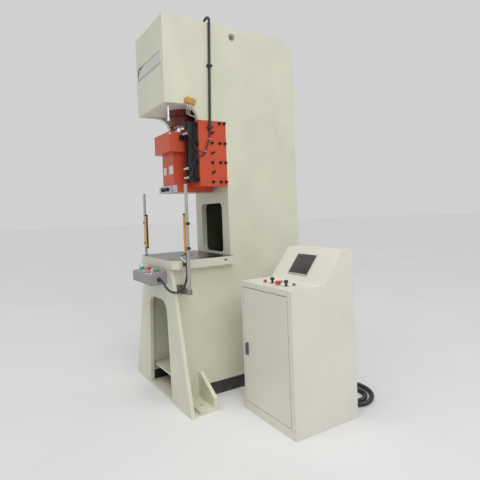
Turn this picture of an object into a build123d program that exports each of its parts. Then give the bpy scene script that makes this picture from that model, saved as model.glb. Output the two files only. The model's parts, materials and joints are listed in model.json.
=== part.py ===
"""Single-column hydraulic punching press with its control console.

Millimetres. X runs across the machine, -Y is the working front, +Z is up.
The origin is on the floor, at the centre of the four anchor bolts.
"""

from build123d import *
import math
import os

# Column frame
FRAME_WIDTH = 618.0
FRAME_HALF_DEPTH = 642.0
FRAME_HEIGHT = 3060.0
SIDE_THICKNESS = 40.0
WALL = 30.0
COLUMN_WALL = 50.0
PLINTH_HEIGHT = 105.0
COLUMN_FACE_Y = -102.0
REAR_CHAMFER = 120.0
HEAD_BOTTOM_Z = 2368.0
THROAT_CORNER_RADIUS = 118.0
SOFFIT_RECESS = 6.0
SOFFIT_THICKNESS = 50.0
TOP_RECESS = 10.0
PARTITION_Y = 150.0
PARTITION_THICKNESS = 20.0
LIFT_Y = -10.0
LIFT_DROP = 82.0
LIFT_OUTER_RADIUS = 34.0
LIFT_BORE_RADIUS = 22.0

# Window in the column and access hole in the back
WINDOW_WIDTH = 388.0
WINDOW_BOTTOM_Z = 1142.0
WINDOW_HEIGHT = 432.0
WINDOW_RADIUS = 45.0
ACCESS_WIDTH = 300.0
ACCESS_HEIGHT = 640.0
ACCESS_BOTTOM_Z = 1180.0
ACCESS_RADIUS = 30.0
COVER_MARGIN = 40.0
COVER_THICKNESS = 3.0
LOUVRE_COUNT = 7
LOUVRE_WIDTH = 200.0
LOUVRE_HEIGHT = 16.0
COVER_SCREW_RADIUS = 7.0
COVER_SCREW_HEAD = 5.0
COVER_SCREW_ROWS = 4

# Pedestal
PEDESTAL_FOOT_WIDTH = 1184.0
PEDESTAL_STRAIGHT = 35.0
MOUTH_FOOT_WIDTH = 470.0
MOUTH_SHOULDER_WIDTH = 380.0
MOUTH_TOP_Z = 797.0
MOUTH_RADIUS = 105.0
BASE_THICKNESS = 24.0
SHELF_Z = 178.0
SHELF_THICKNESS = 12.0
SHELF_SETBACK = 14.0

# Anchor feet
FOOT_REACH = 263.0
FOOT_HEIGHT = 229.0
FOOT_EDGE_HEIGHT = 103.0
FOOT_TOP_WIDTH = 43.0
FOOT_PAD_LENGTH = 145.0
FOOT_PAD_THICKNESS = 30.0
FOOT_GUSSET = 30.0
FOOT_GUSSET_OFFSET = 70.0
FOOT_RIB = 20.0
FOOT_SIGHT_RADIUS = 8.0
FOOT_SIGHT = (105.0, 113.0)
ANCHOR_SPACING_X = 940.0
ANCHOR_INSET = 142.0
ANCHOR_HOLE_RADIUS = 13.0

# Work table
TABLE_WIDTH = 762.0
TABLE_OVERHANG = 5.0
TABLE_TOP_Z = 1131.0
TABLE_THICKNESS = 66.0
TABLE_CORNER = 40.0
DROP_HOLE_RADIUS = 60.0
SLOT_SPACING = 340.0
SLOT_NECK = 18.0
SLOT_WIDTH = 30.0
SLOT_FOOT_HEIGHT = 14.0
SLOT_DEPTH = 34.0
SLOT_SETBACK = 62.0
SLOT_REAR_Y = -180.0
SLOT_ENTRY_RADIUS = 17.0
EDGE_SLOT_LENGTH = 32.0
EDGE_SLOT_HEIGHT = 15.0
EDGE_SLOT_DEPTH = 20.0
EDGE_SLOT_Y = -189.0

# Slide and its guides
RAM_Y = -355.0
STROKE = 300.0
SLIDE_WIDTH = 234.0
SLIDE_FRONT_Y = -505.0
SLIDE_BACK_Y = -141.0
SLIDE_BOTTOM_Z = 1670.0
SLIDE_TOP_Z = 2168.0
CHEEK_HEIGHT = 57.0
CHEEK_THICKNESS = 25.0
CHEEK_FRONT_Y = -440.0
CHEEK_SLOPE_LENGTH = 65.0
NOSE_WIDTH = 328.0
NOSE_FRONT_Y = -555.0
NOSE_BOTTOM_Z = 2007.0
NOSE_CHAMFER = 5.0
EAR_REACH = 72.0
EAR_Y = (-215.0, -155.0)
EAR_BOTTOM_Z = 1740.0
SHANK_BORE_RADIUS = 25.0
SHANK_BORE_DEPTH = 80.0
GUIDE_FRONT_Y = -356.0
GUIDE_BOTTOM_Z = 1712.0
GUIDE_CLEARANCE = 1.5
LINER_THICKNESS = 12.0
RUNNING_GAP = 0.3
GUIDE_BOLT_RADIUS = 12.0
GUIDE_BOLT_HEAD = 16.0
GUIDE_SHANK_RADIUS = 8.0
GUIDE_SHANK_LENGTH = 50.0
GUIDE_ROWS_Z = (1745.0, 1906.0, 2066.0, 2233.0)
GUIDE_COLUMNS_Y = (-117.0, -165.0, -240.0)
ADJUSTER_ROWS_Z = (1825.0, 1985.0, 2150.0)
ADJUSTER_PAIR_Y = (-243.0, -226.0)
ADJUSTER_PAIR_RISE = 9.0
ADJUSTER_RADIUS = 8.0
FRONT_BOLT_ROWS_Z = (1770.0, 1915.0, 2062.0, 2208.0)
FRONT_BOLT_INSET = 15.0

# Tool clamp on the slide's front
CLAMP_WIDTH = 362.0
CLAMP_CORE_WIDTH = 210.0
CLAMP_BOTTOM_Z = 1672.0
CLAMP_HEIGHT = 58.0
CLAMP_WING = 14.0
CLAMP_CORE = 32.0
CLAMP_CHAMFER = 6.0
CLAMP_BOLT_SPACING = 96.0
CLAMP_BOLT_RADIUS = 18.0
CLAMP_BOLT_HEAD = 14.0
CLAMP_SHANK_RADIUS = 10.0
CLAMP_SHANK_LENGTH = 70.0

# Hydraulic cylinder
BARREL_RADIUS = 106.0
BARREL_BORE_RADIUS = 80.0
BARREL_BOTTOM_Z = 2243.0
BARREL_HEADROOM = 180.0
BARREL_END = 50.0
BARREL_COLLAR_RADIUS = 150.0
BARREL_COLLAR_HEIGHT = 45.0
RING_NUT_RADIUS = 125.0
RING_NUT_HEIGHT = 50.0
RING_NUT_NOTCHES = 6
NOTCH_RADIUS = 7.0
GLAND_HEIGHT = 60.0
GLAND_BOLT_CIRCLE = 67.0
GLAND_BOLTS = 8
GLAND_BOLT_RADIUS = 8.0
GLAND_BOLT_HEAD = 10.0
ROD_RADIUS = 50.0
PISTON_HEIGHT = 90.0
PISTON_CLEARANCE = 0.3
ROD_FLANGE_RADIUS = 88.0
ROD_FLANGE_HEIGHT = 30.0
ROD_FLANGE_BOLTS = 6
ROD_FLANGE_CIRCLE = 69.0
FLANGE_BOLT_RADIUS = 11.0
FLANGE_SHANK_RADIUS = 7.0
FLANGE_SHANK_LENGTH = 60.0
MANIFOLD = (170.0, 140.0, 66.0)
VALVE_X = 42.5
VALVE_HALF = (22.0, 30.0)
VALVE_HEIGHT = 38.0
COIL_RADIUS = 17.0
COIL_LENGTH = 38.0
COIL_RISE = 20.0
DRAIN_PIPE_RADIUS = 9.0
DRAIN_PIPE_X = 246.0
DRAIN_PIPE_SETBACK = 56.0
DRAIN_PIPE_BOTTOM_Z = 2256.0
DRAIN_FITTING_RADIUS = 13.0
DRAIN_FITTING_HEIGHT = 22.0

# Stroke sensing
RAIL_X = (203.0, 281.0)
RAIL_DEPTH = 75.0
RAIL_Z = (1748.0, 2238.0)
RAIL_GROOVE = 22.0
RAIL_SIDE_GROOVE_Y = 20.0
RAIL_SIDE_GROOVE_DEPTH = 10.0
SENSOR_RADIUS = 8.0
SENSOR_NUT_RADIUS = 13.0
SENSOR_NUT = 8.0
SENSOR_NUT_X = (211.0, 265.0)
SENSOR_X = (199.0, 292.0)
SENSOR_ROWS_Z = (1783.0, 1857.0, 2142.0)
TRIGGER_Z = (2100.0, 2142.0)
TRIGGER_THICKNESS = 8.0
TRIGGER_FOOT = 44.0
TRIGGER_GAP = 4.0

# Sensor conduit down the side
CONDUIT_RADIUS = 11.0
CONDUIT_STANDOFF = 3.0
CONDUIT_TOP_Y = -228.0
CONDUIT_END_Y = -259.0
CONDUIT_END_Z = 2168.0
CONDUIT_RISE = 50.0
CONDUIT_CORNER = 46.0
CONDUIT_GLAND_X = 225.0
SADDLE_RISE = 24.0
SADDLE_DROP = 360.0
SADDLE_HEIGHT = 16.0
SADDLE_WIDTH = 44.0
SADDLE_WALL = 4.0
LEAD_CABLE_RADIUS = 6.0
LEAD_RADIUS = 3.0
LEAD_JOINT = (-313.0, 1981.0)
CABLE_STRAIGHT = 40.0
CABLE_DRIFT = (18.0, 100.0)
LEAD_FAN = 6.6
LEAD_START = (-2.0, -9.0)
LEAD_EDGE_Y = -351.0
LEAD_EDGE_DROP = 8.0
LEAD_CORNER_X = 303.0
LEAD_CORNER_Y = -384.0
LEAD_TURN = 26.0
LEAD_EXIT = 14.0

# Lubrication
DISTRIBUTOR = (28.0, 93.0, 40.0)
DISTRIBUTOR_Y = -430.0
DISTRIBUTOR_Z = 2391.0
DISTRIBUTOR_TILT = -11.0
LUBE_PORTS = 5
LUBE_PITCH = 15.0
LUBE_TUBE_RADIUS = 3.0
LUBE_TUBES = 3
LUBE_PORT_LENGTH = 8.0
LUBE_END_X = 262.0
LUBE_END_INSET = 18.0
LUBE_OFFSET = 2.0
LUBE_DROP = 16.0
LUBE_TURN = (6.0, 6.0, 42.0)
LUBE_EDGE = (12.0, 12.0, 66.0)
LUBE_LANDING = (4.0, 14.0, 34.0)
LUBE_PORT_RADIUS = 5.0
LUBE_CHAMFER = 10.0
METER_RADIUS = 6.0
METER_HEIGHT = 8.0
METER_PITCH = 21.0
DISTRIBUTOR_SCREW_Y = 37.5
DISTRIBUTOR_SCREW_RISE = 6.0
DISTRIBUTOR_SCREW = (6.0, 6.0)

# Oil tank, pump motor and pipes inside the column
TANK_WIDTH = 470.0
TANK_GAPS = (20.0, 22.0)
TANK_HEIGHT = 620.0
TANK_SHEET = 4.0
FILLER_INSET = 60.0
FILLER_RADIUS = 32.0
FILLER_HEIGHT = 45.0
MOTOR_RADIUS = 105.0
MOTOR_CORE_RADIUS = 93.0
MOTOR_HEIGHT = 300.0
MOTOR_FLANGE_RADIUS = 125.0
MOTOR_FLANGE_HEIGHT = 18.0
MOTOR_FINS = 20
FIN_THICKNESS = 4.0
FIN_INSET = 30.0
COWL_HEIGHT = 50.0
TERMINAL_X = (85.0, 150.0)
TERMINAL_HALF_Y = 45.0
TERMINAL_HALF_Z = 40.0
PIPE_RADIUS = 14.0
PIPE_BEND = 60.0
PIPE_RISER_INSET = 50.0
PIPE_CORNER = 120.0
PIPE_SPACING = 80.0
PIPE_RUN_RISE = 38.0
PIPE_RISER_GAP = 110.0

# Light curtain
POST_GAP = 84.0
POST_SETBACK = 80.0
POST_RADIUS = 12.5
POST_BORE_RADIUS = 10.0
POST_Z = (888.0, 1716.0)
LEFT_POST_DROP = 25.0
BAR_OFFSET = 34.0
BAR_SECTION = (28.0, 24.0)
BAR_Z = (1182.0, 1496.0)
BAR_CAP = 14.0
BAR_CHAMFER = 3.0
LENS_DEPTH = 2.0
LENS_RIM = 5.0
CLAMP_ROWS_Z = (1231.0, 1418.0)
CLAMP_BLOCK = 22.0
CLAMP_WRAP = 8.0
CLAMP_KNOB_RADIUS = 9.0
CLAMP_KNOB_LENGTH = 16.0
BRACKET_PLATE_Z = (866.0, 938.0)
BRACKET_PLATE_WIDTH = 80.0
BRACKET_SHEET = 8.0
BRACKET_ARM_RISE = 14.0
BRACKET_ARM_HEIGHT = 30.0
BRACKET_COLLAR_RADIUS = 21.5
BRACKET_COLLAR_HEIGHT = 34.0
BRACKET_SCREW_INSET = 16.0
BRACKET_SCREW_Z = 892.0
BRACKET_SCREW = (9.0, 9.0, 4.0)

# Two-hand button box, with each button's distance across and from the box's back edge
BOX_WIDTH = 436.0
BOX_DEPTH = 133.0
BOX_BOTTOM_Z = 939.0
BOX_FRONT_Z = 1019.0
BOX_BACK_Z = 1045.0
BOX_SHEET = 3.0
LID_SHEET = 3.6
BUTTON_TRAVEL = 4.0
PALM_TRAVEL = 6.0
COLLAR_HEIGHT = 6.0
STEM_RADIUS = 9.0
STEM_GAP = 0.3
STEM_DEPTH = 16.0
STEM_CUT = 20.0
PALM_RADIUS = 20.0
PALM_HEIGHT = 14.0
STOP_HEIGHT = 18.0
CAP_RADIUS = 11.0
CAP_HEIGHT = 7.0
CAP_ROUNDING = 2.0
DOME_SHARE = 0.45
COLLAR_RIM = 3.0
PALM_COLLAR_RADIUS = 18.0
LAMP_HEIGHT = 10.0
LAMP_ROUNDING = 3.0
PALM_LEFT = (-125.0, 80.0)
PALM_RIGHT = (172.0, 56.0)
BOX_STOP = (-12.0, 58.0)
BOX_WHITE = (62.0, 60.0)
BOX_GREEN = (118.0, 60.0)
BOX_RED = (112.0, 106.0)
BOX_LAMPS = ((0.0, 106.0), (165.0, 108.0))
GUARD_X = -178.0
GUARD_HEIGHT = 52.0
GUARD_SPAN = 34.0
GUARD_WIRE = 2.5
GUARD_BEND = 12.0

# Conduit from the button box to the light curtain
BOX_CONDUIT_RADIUS = 9.0
BOX_CONDUIT_POINTS = (
    (236.0, -FRAME_HALF_DEPTH - 66.0, 982.0),
    (272.0, -FRAME_HALF_DEPTH - 66.0, 982.0),
    (304.0, -FRAME_HALF_DEPTH - 61.0, 962.0),
    (327.0, -FRAME_HALF_DEPTH - 52.0, 934.0),
    (345.0, -FRAME_HALF_DEPTH - 35.0, 907.0),
    (370.0, -FRAME_HALF_DEPTH - 10.0, 892.0),
    (398.0, -FRAME_HALF_DEPTH + 16.0, 896.0),
    (416.0, -FRAME_HALF_DEPTH + 42.0, 915.0),
    (423.0, -FRAME_HALF_DEPTH + 63.0, 946.0),
    (424.0, -FRAME_HALF_DEPTH + 78.0, 990.0),
    (TABLE_WIDTH / 2 + 39.0, -FRAME_HALF_DEPTH + 89.0, 1040.0),
    (TABLE_WIDTH / 2 + 39.0, -FRAME_HALF_DEPTH + 89.0, 1090.0),
)
CLIP_PLATE = (4.0, 44.0, 32.0)
CLIP_Z = 1106.0
CLIP_ARM = (8.0, 20.0)
CLIP_SCREW_RADIUS = 5.0
CLIP_WING = (6.0, 12.0, 20.0)
CLIP_WING_Y = 28.0
CLIP_TAIL_OVERLAP = 6.0
CLIP_TAIL = (TABLE_WIDTH / 2 + 9.0, -FRAME_HALF_DEPTH + 52.0, 1160.0)
CLIP_TAIL_RADIUS = 5.0
BAR_LEAD_RADIUS = 3.5
BAR_LEAD_RUN = (14.0, 18.0)

# Control console
CONSOLE_X = (660.0, 1260.0)
CONSOLE_Y = (-222.0, 342.0)
DESK_Z = 969.0
CONSOLE_HEIGHT = 1195.0
DESK_DEPTH = 286.0
SLOPE_RUN = 182.0
CONSOLE_SHEET = 3.0
CONSOLE_FRAME = 20.0
DOOR_MARGIN_LEFT = 22.0
DOOR_MARGIN_RIGHT = 46.0
DOOR_Z = (70.0, 925.0)
DOOR_DEPTH = 16.0
DOOR_GAP = 5.0
DOOR_RIM = 16.0
PIN_RADIUS = 4.0
PIN_LENGTH = 16.0
PIN_GAP = 0.05
PIN_INSET = (7.0, 8.0)
LOCK_X = 722.0
LOCK_Z = 470.0
LOCK_HEIGHT = 100.0
LOCK_WIDTH = 28.0
LOCK_SEAT = 6.0
LEVER_WIDTH = 16.0
LEVER_MARGIN = 8.0
LEVER_Y = (12.0, 1.0)
CAM_WIDTH = 20.0
CAM_Y = (24.0, 28.0)
CAM_Z = (-12.0, 52.0)
HMI_WIDTH = 226.0
HMI_HEIGHT = 182.0
HMI_RIM = 16.0
HMI_CHAMFER = 2.0
HMI_CUT_GAP = 1.0
HMI_GLASS = 2.0
HMI_CENTRE_X = 943.0
HMI_ALONG_SLOPE = 143.0
HMI_PROUD = 8.0
HMI_BODY_DEPTH = 40.0
DESK_RED = (865.0, -142.0)
DESK_KNOB_LEFT = (930.0, -125.0)
DESK_STOP = (1022.0, -143.0)
DESK_GREEN_REAR = (950.0, -62.0)
DESK_KNOB_RIGHT = (1095.0, -130.0)
DESK_GREEN_RIGHT = (1115.0, -76.0)
DESK_RED_RADIUS = 13.0
DESK_RED_HEIGHT = 12.0
DESK_STOP_HEIGHT = 22.0
DESK_CAP_HEIGHT = 8.0
DESK_COLLAR_RADIUS = 20.0
KNOB_RADIUS = 15.0
KNOB_HEIGHT = 19.0
KNOB_STEM = 20.0
KNOB_STEM_RADIUS = 8.0
KNOB_SHOULDER = (11.0, 6.0)
KNOB_ROUNDING = 3.0
KNOB_GRIP_X = 20.25
KNOB_GRIP_LENGTH = 40.0

# Mounting plate in the console: (left, right, low z, high z, depth) of each device
GEAR_INSET = 60.0
GEAR_Z = (180.0, 860.0)
GEAR_PLATE = 3.0
GEAR_STANDOFF = 20.0
GEAR_STANDOFF_RADIUS = 6.0
GEAR_RAILS_Z = (320.0, 520.0, 720.0)
GEAR_RAIL_HEIGHT = 34.0
GEAR_RAIL_DEPTH = 7.0
CONTACTOR_COUNT = 4
CONTACTOR_PITCH = 58.0
CONTACTOR = (40.0, 85.0, 680.0, 765.0, 85.0)
TERMINAL_COUNT = 14
TERMINAL_PITCH = 24.0
TERMINAL = (40.0, 61.0, 295.0, 345.0, 45.0)
DEVICES = (
    (290.0, 430.0, 665.0, 775.0, 75.0),
    (40.0, 230.0, 465.0, 575.0, 80.0),
    (260.0, 350.0, 460.0, 580.0, 95.0),
)

# Glands of all conduits
GLAND_LENGTH = 20.0
GLAND_WALL = 5.0

# Floor conduit from the console to the back of the press
FLOOR_CONDUIT_RADIUS = 17.0
FLOOR_CONDUIT_POINTS = (
    (870.0, 366.0, 105.0),
    (870.0, 430.0, 105.0),
    (869.0, 508.0, 80.0),
    (872.0, 588.0, 36.0),
    (936.0, 660.0, 17.5),
    (1035.0, 662.0, 17.5),
    (1106.0, 592.0, 17.5),
    (1108.0, 494.0, 17.5),
    (1040.0, 427.0, 17.5),
    (942.0, 424.0, 17.5),
    (855.0, 452.0, 17.5),
    (800.0, 524.0, 17.5),
    (786.0, 600.0, 17.5),
    (796.0, 668.0, 17.5),
    (834.0, 718.0, 17.5),
    (898.0, 744.0, 17.5),
    (980.0, 738.0, 17.5),
    (1057.0, 708.0, 17.5),
    (1117.0, 652.0, 17.5),
    (1158.0, 582.0, 17.5),
    (1168.0, 504.0, 17.5),
    (1128.0, 431.0, 17.5),
    (1052.0, 384.0, 17.5),
    (962.0, 368.0, 17.5),
    (875.0, 367.0, 17.5),
    (790.0, 380.0, 17.5),
    (712.0, 415.0, 17.5),
    (650.0, 472.0, 17.5),
    (610.0, 545.0, 17.5),
    (590.0, 628.0, 17.5),
    (545.0, 700.0, 17.5),
    (480.0, 755.0, 17.5),
    (400.0, 800.0, 17.5),
    (305.0, 832.0, 17.5),
    (215.0, FRAME_HALF_DEPTH + 196.0, 22.0),
    (146.0, FRAME_HALF_DEPTH + 163.0, 34.0),
    (106.0, FRAME_HALF_DEPTH + 113.0, 50.0),
    (90.0, FRAME_HALF_DEPTH + 66.0, 58.0),
    (90.0, FRAME_HALF_DEPTH + 20.0, 58.0),
)

# Worked out from the values above
BOX_BUTTONS = (PALM_LEFT, PALM_RIGHT, BOX_STOP, BOX_WHITE, BOX_GREEN, BOX_RED)
DESK_BUTTONS = (DESK_RED, DESK_KNOB_LEFT, DESK_STOP, DESK_GREEN_REAR, DESK_KNOB_RIGHT, DESK_GREEN_RIGHT)
HALF_WIDTH = FRAME_WIDTH / 2
LIFT_Z = FRAME_HEIGHT - LIFT_DROP
ANCHOR_SPACING_Y = 2 * (FRAME_HALF_DEPTH - ANCHOR_INSET)
FOOT_GUSSET_Y = ANCHOR_SPACING_Y / 2 - FOOT_GUSSET_OFFSET
TABLE_FRONT_Y = -FRAME_HALF_DEPTH - TABLE_OVERHANG
SLOT_FRONT_Y = TABLE_FRONT_Y + SLOT_SETBACK
BARREL_TOP_Z = FRAME_HEIGHT - BARREL_HEADROOM
DRAIN_PIPE_Y = -FRAME_HALF_DEPTH + DRAIN_PIPE_SETBACK
CONDUIT_CREST_Z = FRAME_HEIGHT + CONDUIT_RISE
SADDLE_ROWS_Z = (CONDUIT_END_Z + SADDLE_RISE, FRAME_HEIGHT - SADDLE_DROP)
TANK_Y = (PARTITION_Y + PARTITION_THICKNESS + TANK_GAPS[0], FRAME_HALF_DEPTH - WALL - TANK_GAPS[1])
PIPE_RUN_Z = BARREL_TOP_Z + PIPE_RUN_RISE
PIPE_RISER_Y = TANK_Y[1] - PIPE_RISER_GAP
POST_X = TABLE_WIDTH / 2 + POST_GAP
POST_Y = -FRAME_HALF_DEPTH + POST_SETBACK
BRACKET_PLATE_Y = (POST_Y - BRACKET_PLATE_WIDTH / 2, POST_Y + BRACKET_PLATE_WIDTH / 2)
INNER_X = HALF_WIDTH - SIDE_THICKNESS
THROAT_STEP_Z = HEAD_BOTTOM_Z - THROAT_CORNER_RADIUS
TABLE_BOTTOM_Z = TABLE_TOP_Z - TABLE_THICKNESS
SOFFIT_Z = HEAD_BOTTOM_Z + SOFFIT_RECESS
SLIDE_HALF = SLIDE_WIDTH / 2
GUIDE_INNER_X = SLIDE_HALF + GUIDE_CLEARANCE
EAR_X = SLIDE_HALF + EAR_REACH
PEDESTAL_FRONT_Y = -FRAME_HALF_DEPTH
PEDESTAL_BACK_Y = PEDESTAL_FRONT_Y + WALL
CHEEK_TOP_Z = SLIDE_TOP_Z + CHEEK_HEIGHT
BOX_BACK_Y = PEDESTAL_FRONT_Y
BOX_FRONT_Y = BOX_BACK_Y - BOX_DEPTH
BOX_TILT = math.degrees(math.atan2(BOX_BACK_Z - BOX_FRONT_Z, BOX_DEPTH))
SLOPE_FOOT_Y = CONSOLE_Y[0] + DESK_DEPTH
SLOPE_TOP_Y = SLOPE_FOOT_Y + SLOPE_RUN
SLOPE_ANGLE = math.degrees(math.atan2(CONSOLE_HEIGHT - DESK_Z, SLOPE_RUN))
DOOR_X = (CONSOLE_X[0] + DOOR_MARGIN_LEFT, CONSOLE_X[1] - DOOR_MARGIN_RIGHT)
SIDE_CONDUIT_X = HALF_WIDTH + CONDUIT_STANDOFF + CONDUIT_RADIUS
PIN_X = DOOR_X[1] - PIN_INSET[0]
PIN_Y = CONSOLE_Y[0] + PIN_INSET[1]
SENSOR_Y = GUIDE_FRONT_Y - RAIL_DEPTH - SENSOR_NUT_RADIUS


def block(x, y, z):
    """A block between a low and a high value along each axis."""
    size = Box(x[1] - x[0], y[1] - y[0], z[1] - z[0])
    return Pos((x[0] + x[1]) / 2, (y[0] + y[1]) / 2, (z[0] + z[1]) / 2) * size


def profile_x(points, x):
    """An outline of (y, z) points, pulled along X."""
    wire = Polyline(*[(x[0], y, z) for y, z in points], close=True)
    return extrude(make_face(wire), amount=x[1] - x[0], dir=(1, 0, 0))


def profile_y(points, y):
    """An outline of (x, z) points, pulled along Y."""
    wire = Polyline(*[(x, y[0], z) for x, z in points], close=True)
    return extrude(make_face(wire), amount=y[1] - y[0], dir=(0, 1, 0))


def rod(start, end, radius):
    """A round bar from one point to another."""
    low = Vector(*start)
    run = Vector(*end) - low
    return Plane(origin=low, z_dir=run) * Pos(0, 0, run.length / 2) * Cylinder(radius, run.length)


def upright(x, y, z, radius):
    """A round bar along Z."""
    return rod((x, y, z[0]), (x, y, z[1]), radius)


def rounded_y(width, height, radius, x, z, y):
    """A block with rounded corners seen along Y, centred on x, standing on z."""
    shape = Plane.XZ * Pos(x, z + height / 2) * RectangleRounded(width, height, radius)
    return Pos(0, y[0], 0) * extrude(shape, amount=y[1] - y[0], dir=(0, 1, 0))


def joined(shapes):
    """One solid from several that touch."""
    total = shapes[0]
    for shape in shapes[1:]:
        total = total + shape
    return total


def group(shapes):
    """Separate solids kept together in one node."""
    solids = []
    for shape in shapes:
        solids.extend(shape.solids())
    return Compound(children=solids)


def mirrored_x(shape):
    """The same piece on the other side of the machine."""
    return mirror(shape, about=Plane.YZ)


def screw_hole(seat, out, radius, depth):
    """The hole that a screw's shank sits in."""
    axis = Vector(*out).normalized()
    place = Vector(*seat)
    return rod(tuple(place + axis), tuple(place - axis * depth), radius)


def cap_screw(seat, out, head_radius, head_height, shank_radius, shank_length):
    """A socket screw: head outside its seat, hexagon socket, shank into the work."""
    axis = Vector(*out).normalized()
    place = Vector(*seat)
    head = rod(tuple(place), tuple(place + axis * head_height), head_radius)
    shank = rod(tuple(place), tuple(place - axis * shank_length), shank_radius)
    socket_depth = head_height * 0.5
    flat = Plane(origin=place + axis * (head_height - socket_depth), z_dir=axis)
    socket = extrude(flat * RegularPolygon(head_radius * 0.55, 6), amount=socket_depth + 1)
    return head + shank - socket


def arc_radii(points):
    """The largest arc that each corner of a route allows."""
    radii = []
    for before, corner, after in zip(points, points[1:], points[2:]):
        run_in = Vector(*corner) - Vector(*before)
        run_out = Vector(*after) - Vector(*corner)
        turn = run_in.get_angle(run_out)
        shorter = min(run_in.length, run_out.length)
        radii.append(0.45 * shorter / math.tan(math.radians(turn / 2)))
    return radii


def routed_tube(points, radius, radii=None):
    """A tube along straight runs joined by arcs."""
    path = FilletPolyline(*points, radius=radii or arc_radii(points))
    start = Plane(origin=path @ 0, z_dir=path % 0)
    return sweep(start * Circle(radius), path=path)


def side_plate(x):
    """One full-height side plate with the throat cut out of its front."""
    depth = FRAME_HALF_DEPTH
    outline = [
        (PEDESTAL_BACK_Y, PLINTH_HEIGHT),
        (depth, PLINTH_HEIGHT),
        (depth, FRAME_HEIGHT - REAR_CHAMFER),
        (depth - REAR_CHAMFER, FRAME_HEIGHT),
        (-depth, FRAME_HEIGHT),
        (-depth, HEAD_BOTTOM_Z),
        (GUIDE_FRONT_Y - THROAT_CORNER_RADIUS, HEAD_BOTTOM_Z),
        (GUIDE_FRONT_Y, THROAT_STEP_Z),
        (COLUMN_FACE_Y, THROAT_STEP_Z),
        (COLUMN_FACE_Y, TABLE_BOTTOM_Z),
        (PEDESTAL_BACK_Y, TABLE_BOTTOM_Z),
    ]
    plate = profile_x(outline, x)
    arch_y = GUIDE_FRONT_Y - THROAT_CORNER_RADIUS
    corner = (GUIDE_FRONT_Y + 1, HEAD_BOTTOM_Z + 1)
    fill = profile_x([(arch_y, HEAD_BOTTOM_Z), corner, (GUIDE_FRONT_Y, THROAT_STEP_Z)], x)
    arch = rod((x[0] - 1, arch_y, THROAT_STEP_Z), (x[1] + 1, arch_y, THROAT_STEP_Z), THROAT_CORNER_RADIUS)
    lift = rod((x[0] - 1, LIFT_Y, LIFT_Z), (x[1] + 1, LIFT_Y, LIFT_Z), LIFT_OUTER_RADIUS)
    return plate + fill - arch - lift


def head_box():
    """Front, top and bottom plates of the head, welded between the side plates."""
    x = (-INNER_X, INNER_X)
    front_y = (-FRAME_HALF_DEPTH, -FRAME_HALF_DEPTH + SIDE_THICKNESS)
    top_z = (FRAME_HEIGHT - TOP_RECESS - WALL, FRAME_HEIGHT - TOP_RECESS)
    front = block(x, front_y, (HEAD_BOTTOM_Z, top_z[1]))
    top = block(x, (front_y[0], FRAME_HALF_DEPTH - REAR_CHAMFER), top_z)
    soffit = block(x, (front_y[0], COLUMN_FACE_Y), (SOFFIT_Z, SOFFIT_Z + SOFFIT_THICKNESS))
    bore = upright(0, RAM_Y, (SOFFIT_Z - 1, SOFFIT_Z + SOFFIT_THICKNESS + 1), BARREL_RADIUS)
    drain_z = (SOFFIT_Z - 1, SOFFIT_Z + SOFFIT_THICKNESS + 1)
    drain = upright(DRAIN_PIPE_X, DRAIN_PIPE_Y, drain_z, DRAIN_PIPE_RADIUS)
    entry = upright(CONDUIT_GLAND_X, CONDUIT_TOP_Y, (top_z[0] - 1, top_z[1] + 1), CONDUIT_RADIUS)
    return front + top + soffit - bore - drain - entry


def column_box():
    """Front wall of the column with its window, and the stiffening wall behind it."""
    x = (-INNER_X, INNER_X)
    z = (BASE_THICKNESS, SOFFIT_Z + SOFFIT_THICKNESS)
    wall_y = (COLUMN_FACE_Y, COLUMN_FACE_Y + COLUMN_WALL)
    wall = block(x, wall_y, z)
    opening_y = (wall_y[0] - 1, wall_y[1] + 1)
    window = rounded_y(WINDOW_WIDTH, WINDOW_HEIGHT, WINDOW_RADIUS, 0, WINDOW_BOTTOM_Z, opening_y)
    partition = block(x, (PARTITION_Y, PARTITION_Y + PARTITION_THICKNESS), z)
    ledge_z = (WINDOW_BOTTOM_Z - 2 * WALL, WINDOW_BOTTOM_Z - WALL)
    ledge = block(x, (wall_y[1], PARTITION_Y), ledge_z)
    return wall - window + partition + ledge


def back_plate():
    """Rear wall, bent forward at the top, with the access hole to the pump."""
    outer = FRAME_HALF_DEPTH
    bend = WALL * math.tan(math.radians(22.5))
    outline = [
        (outer, BASE_THICKNESS),
        (outer, FRAME_HEIGHT - REAR_CHAMFER),
        (outer - REAR_CHAMFER, FRAME_HEIGHT),
        (outer - REAR_CHAMFER, FRAME_HEIGHT - WALL * math.sqrt(2)),
        (outer - WALL, FRAME_HEIGHT - REAR_CHAMFER - bend),
        (outer - WALL, BASE_THICKNESS),
    ]
    wall = profile_x(outline, (-INNER_X, INNER_X))
    hole_y = (outer - WALL - 1, outer + 1)
    return wall - rounded_y(ACCESS_WIDTH, ACCESS_HEIGHT, ACCESS_RADIUS, 0, ACCESS_BOTTOM_Z, hole_y)


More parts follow.
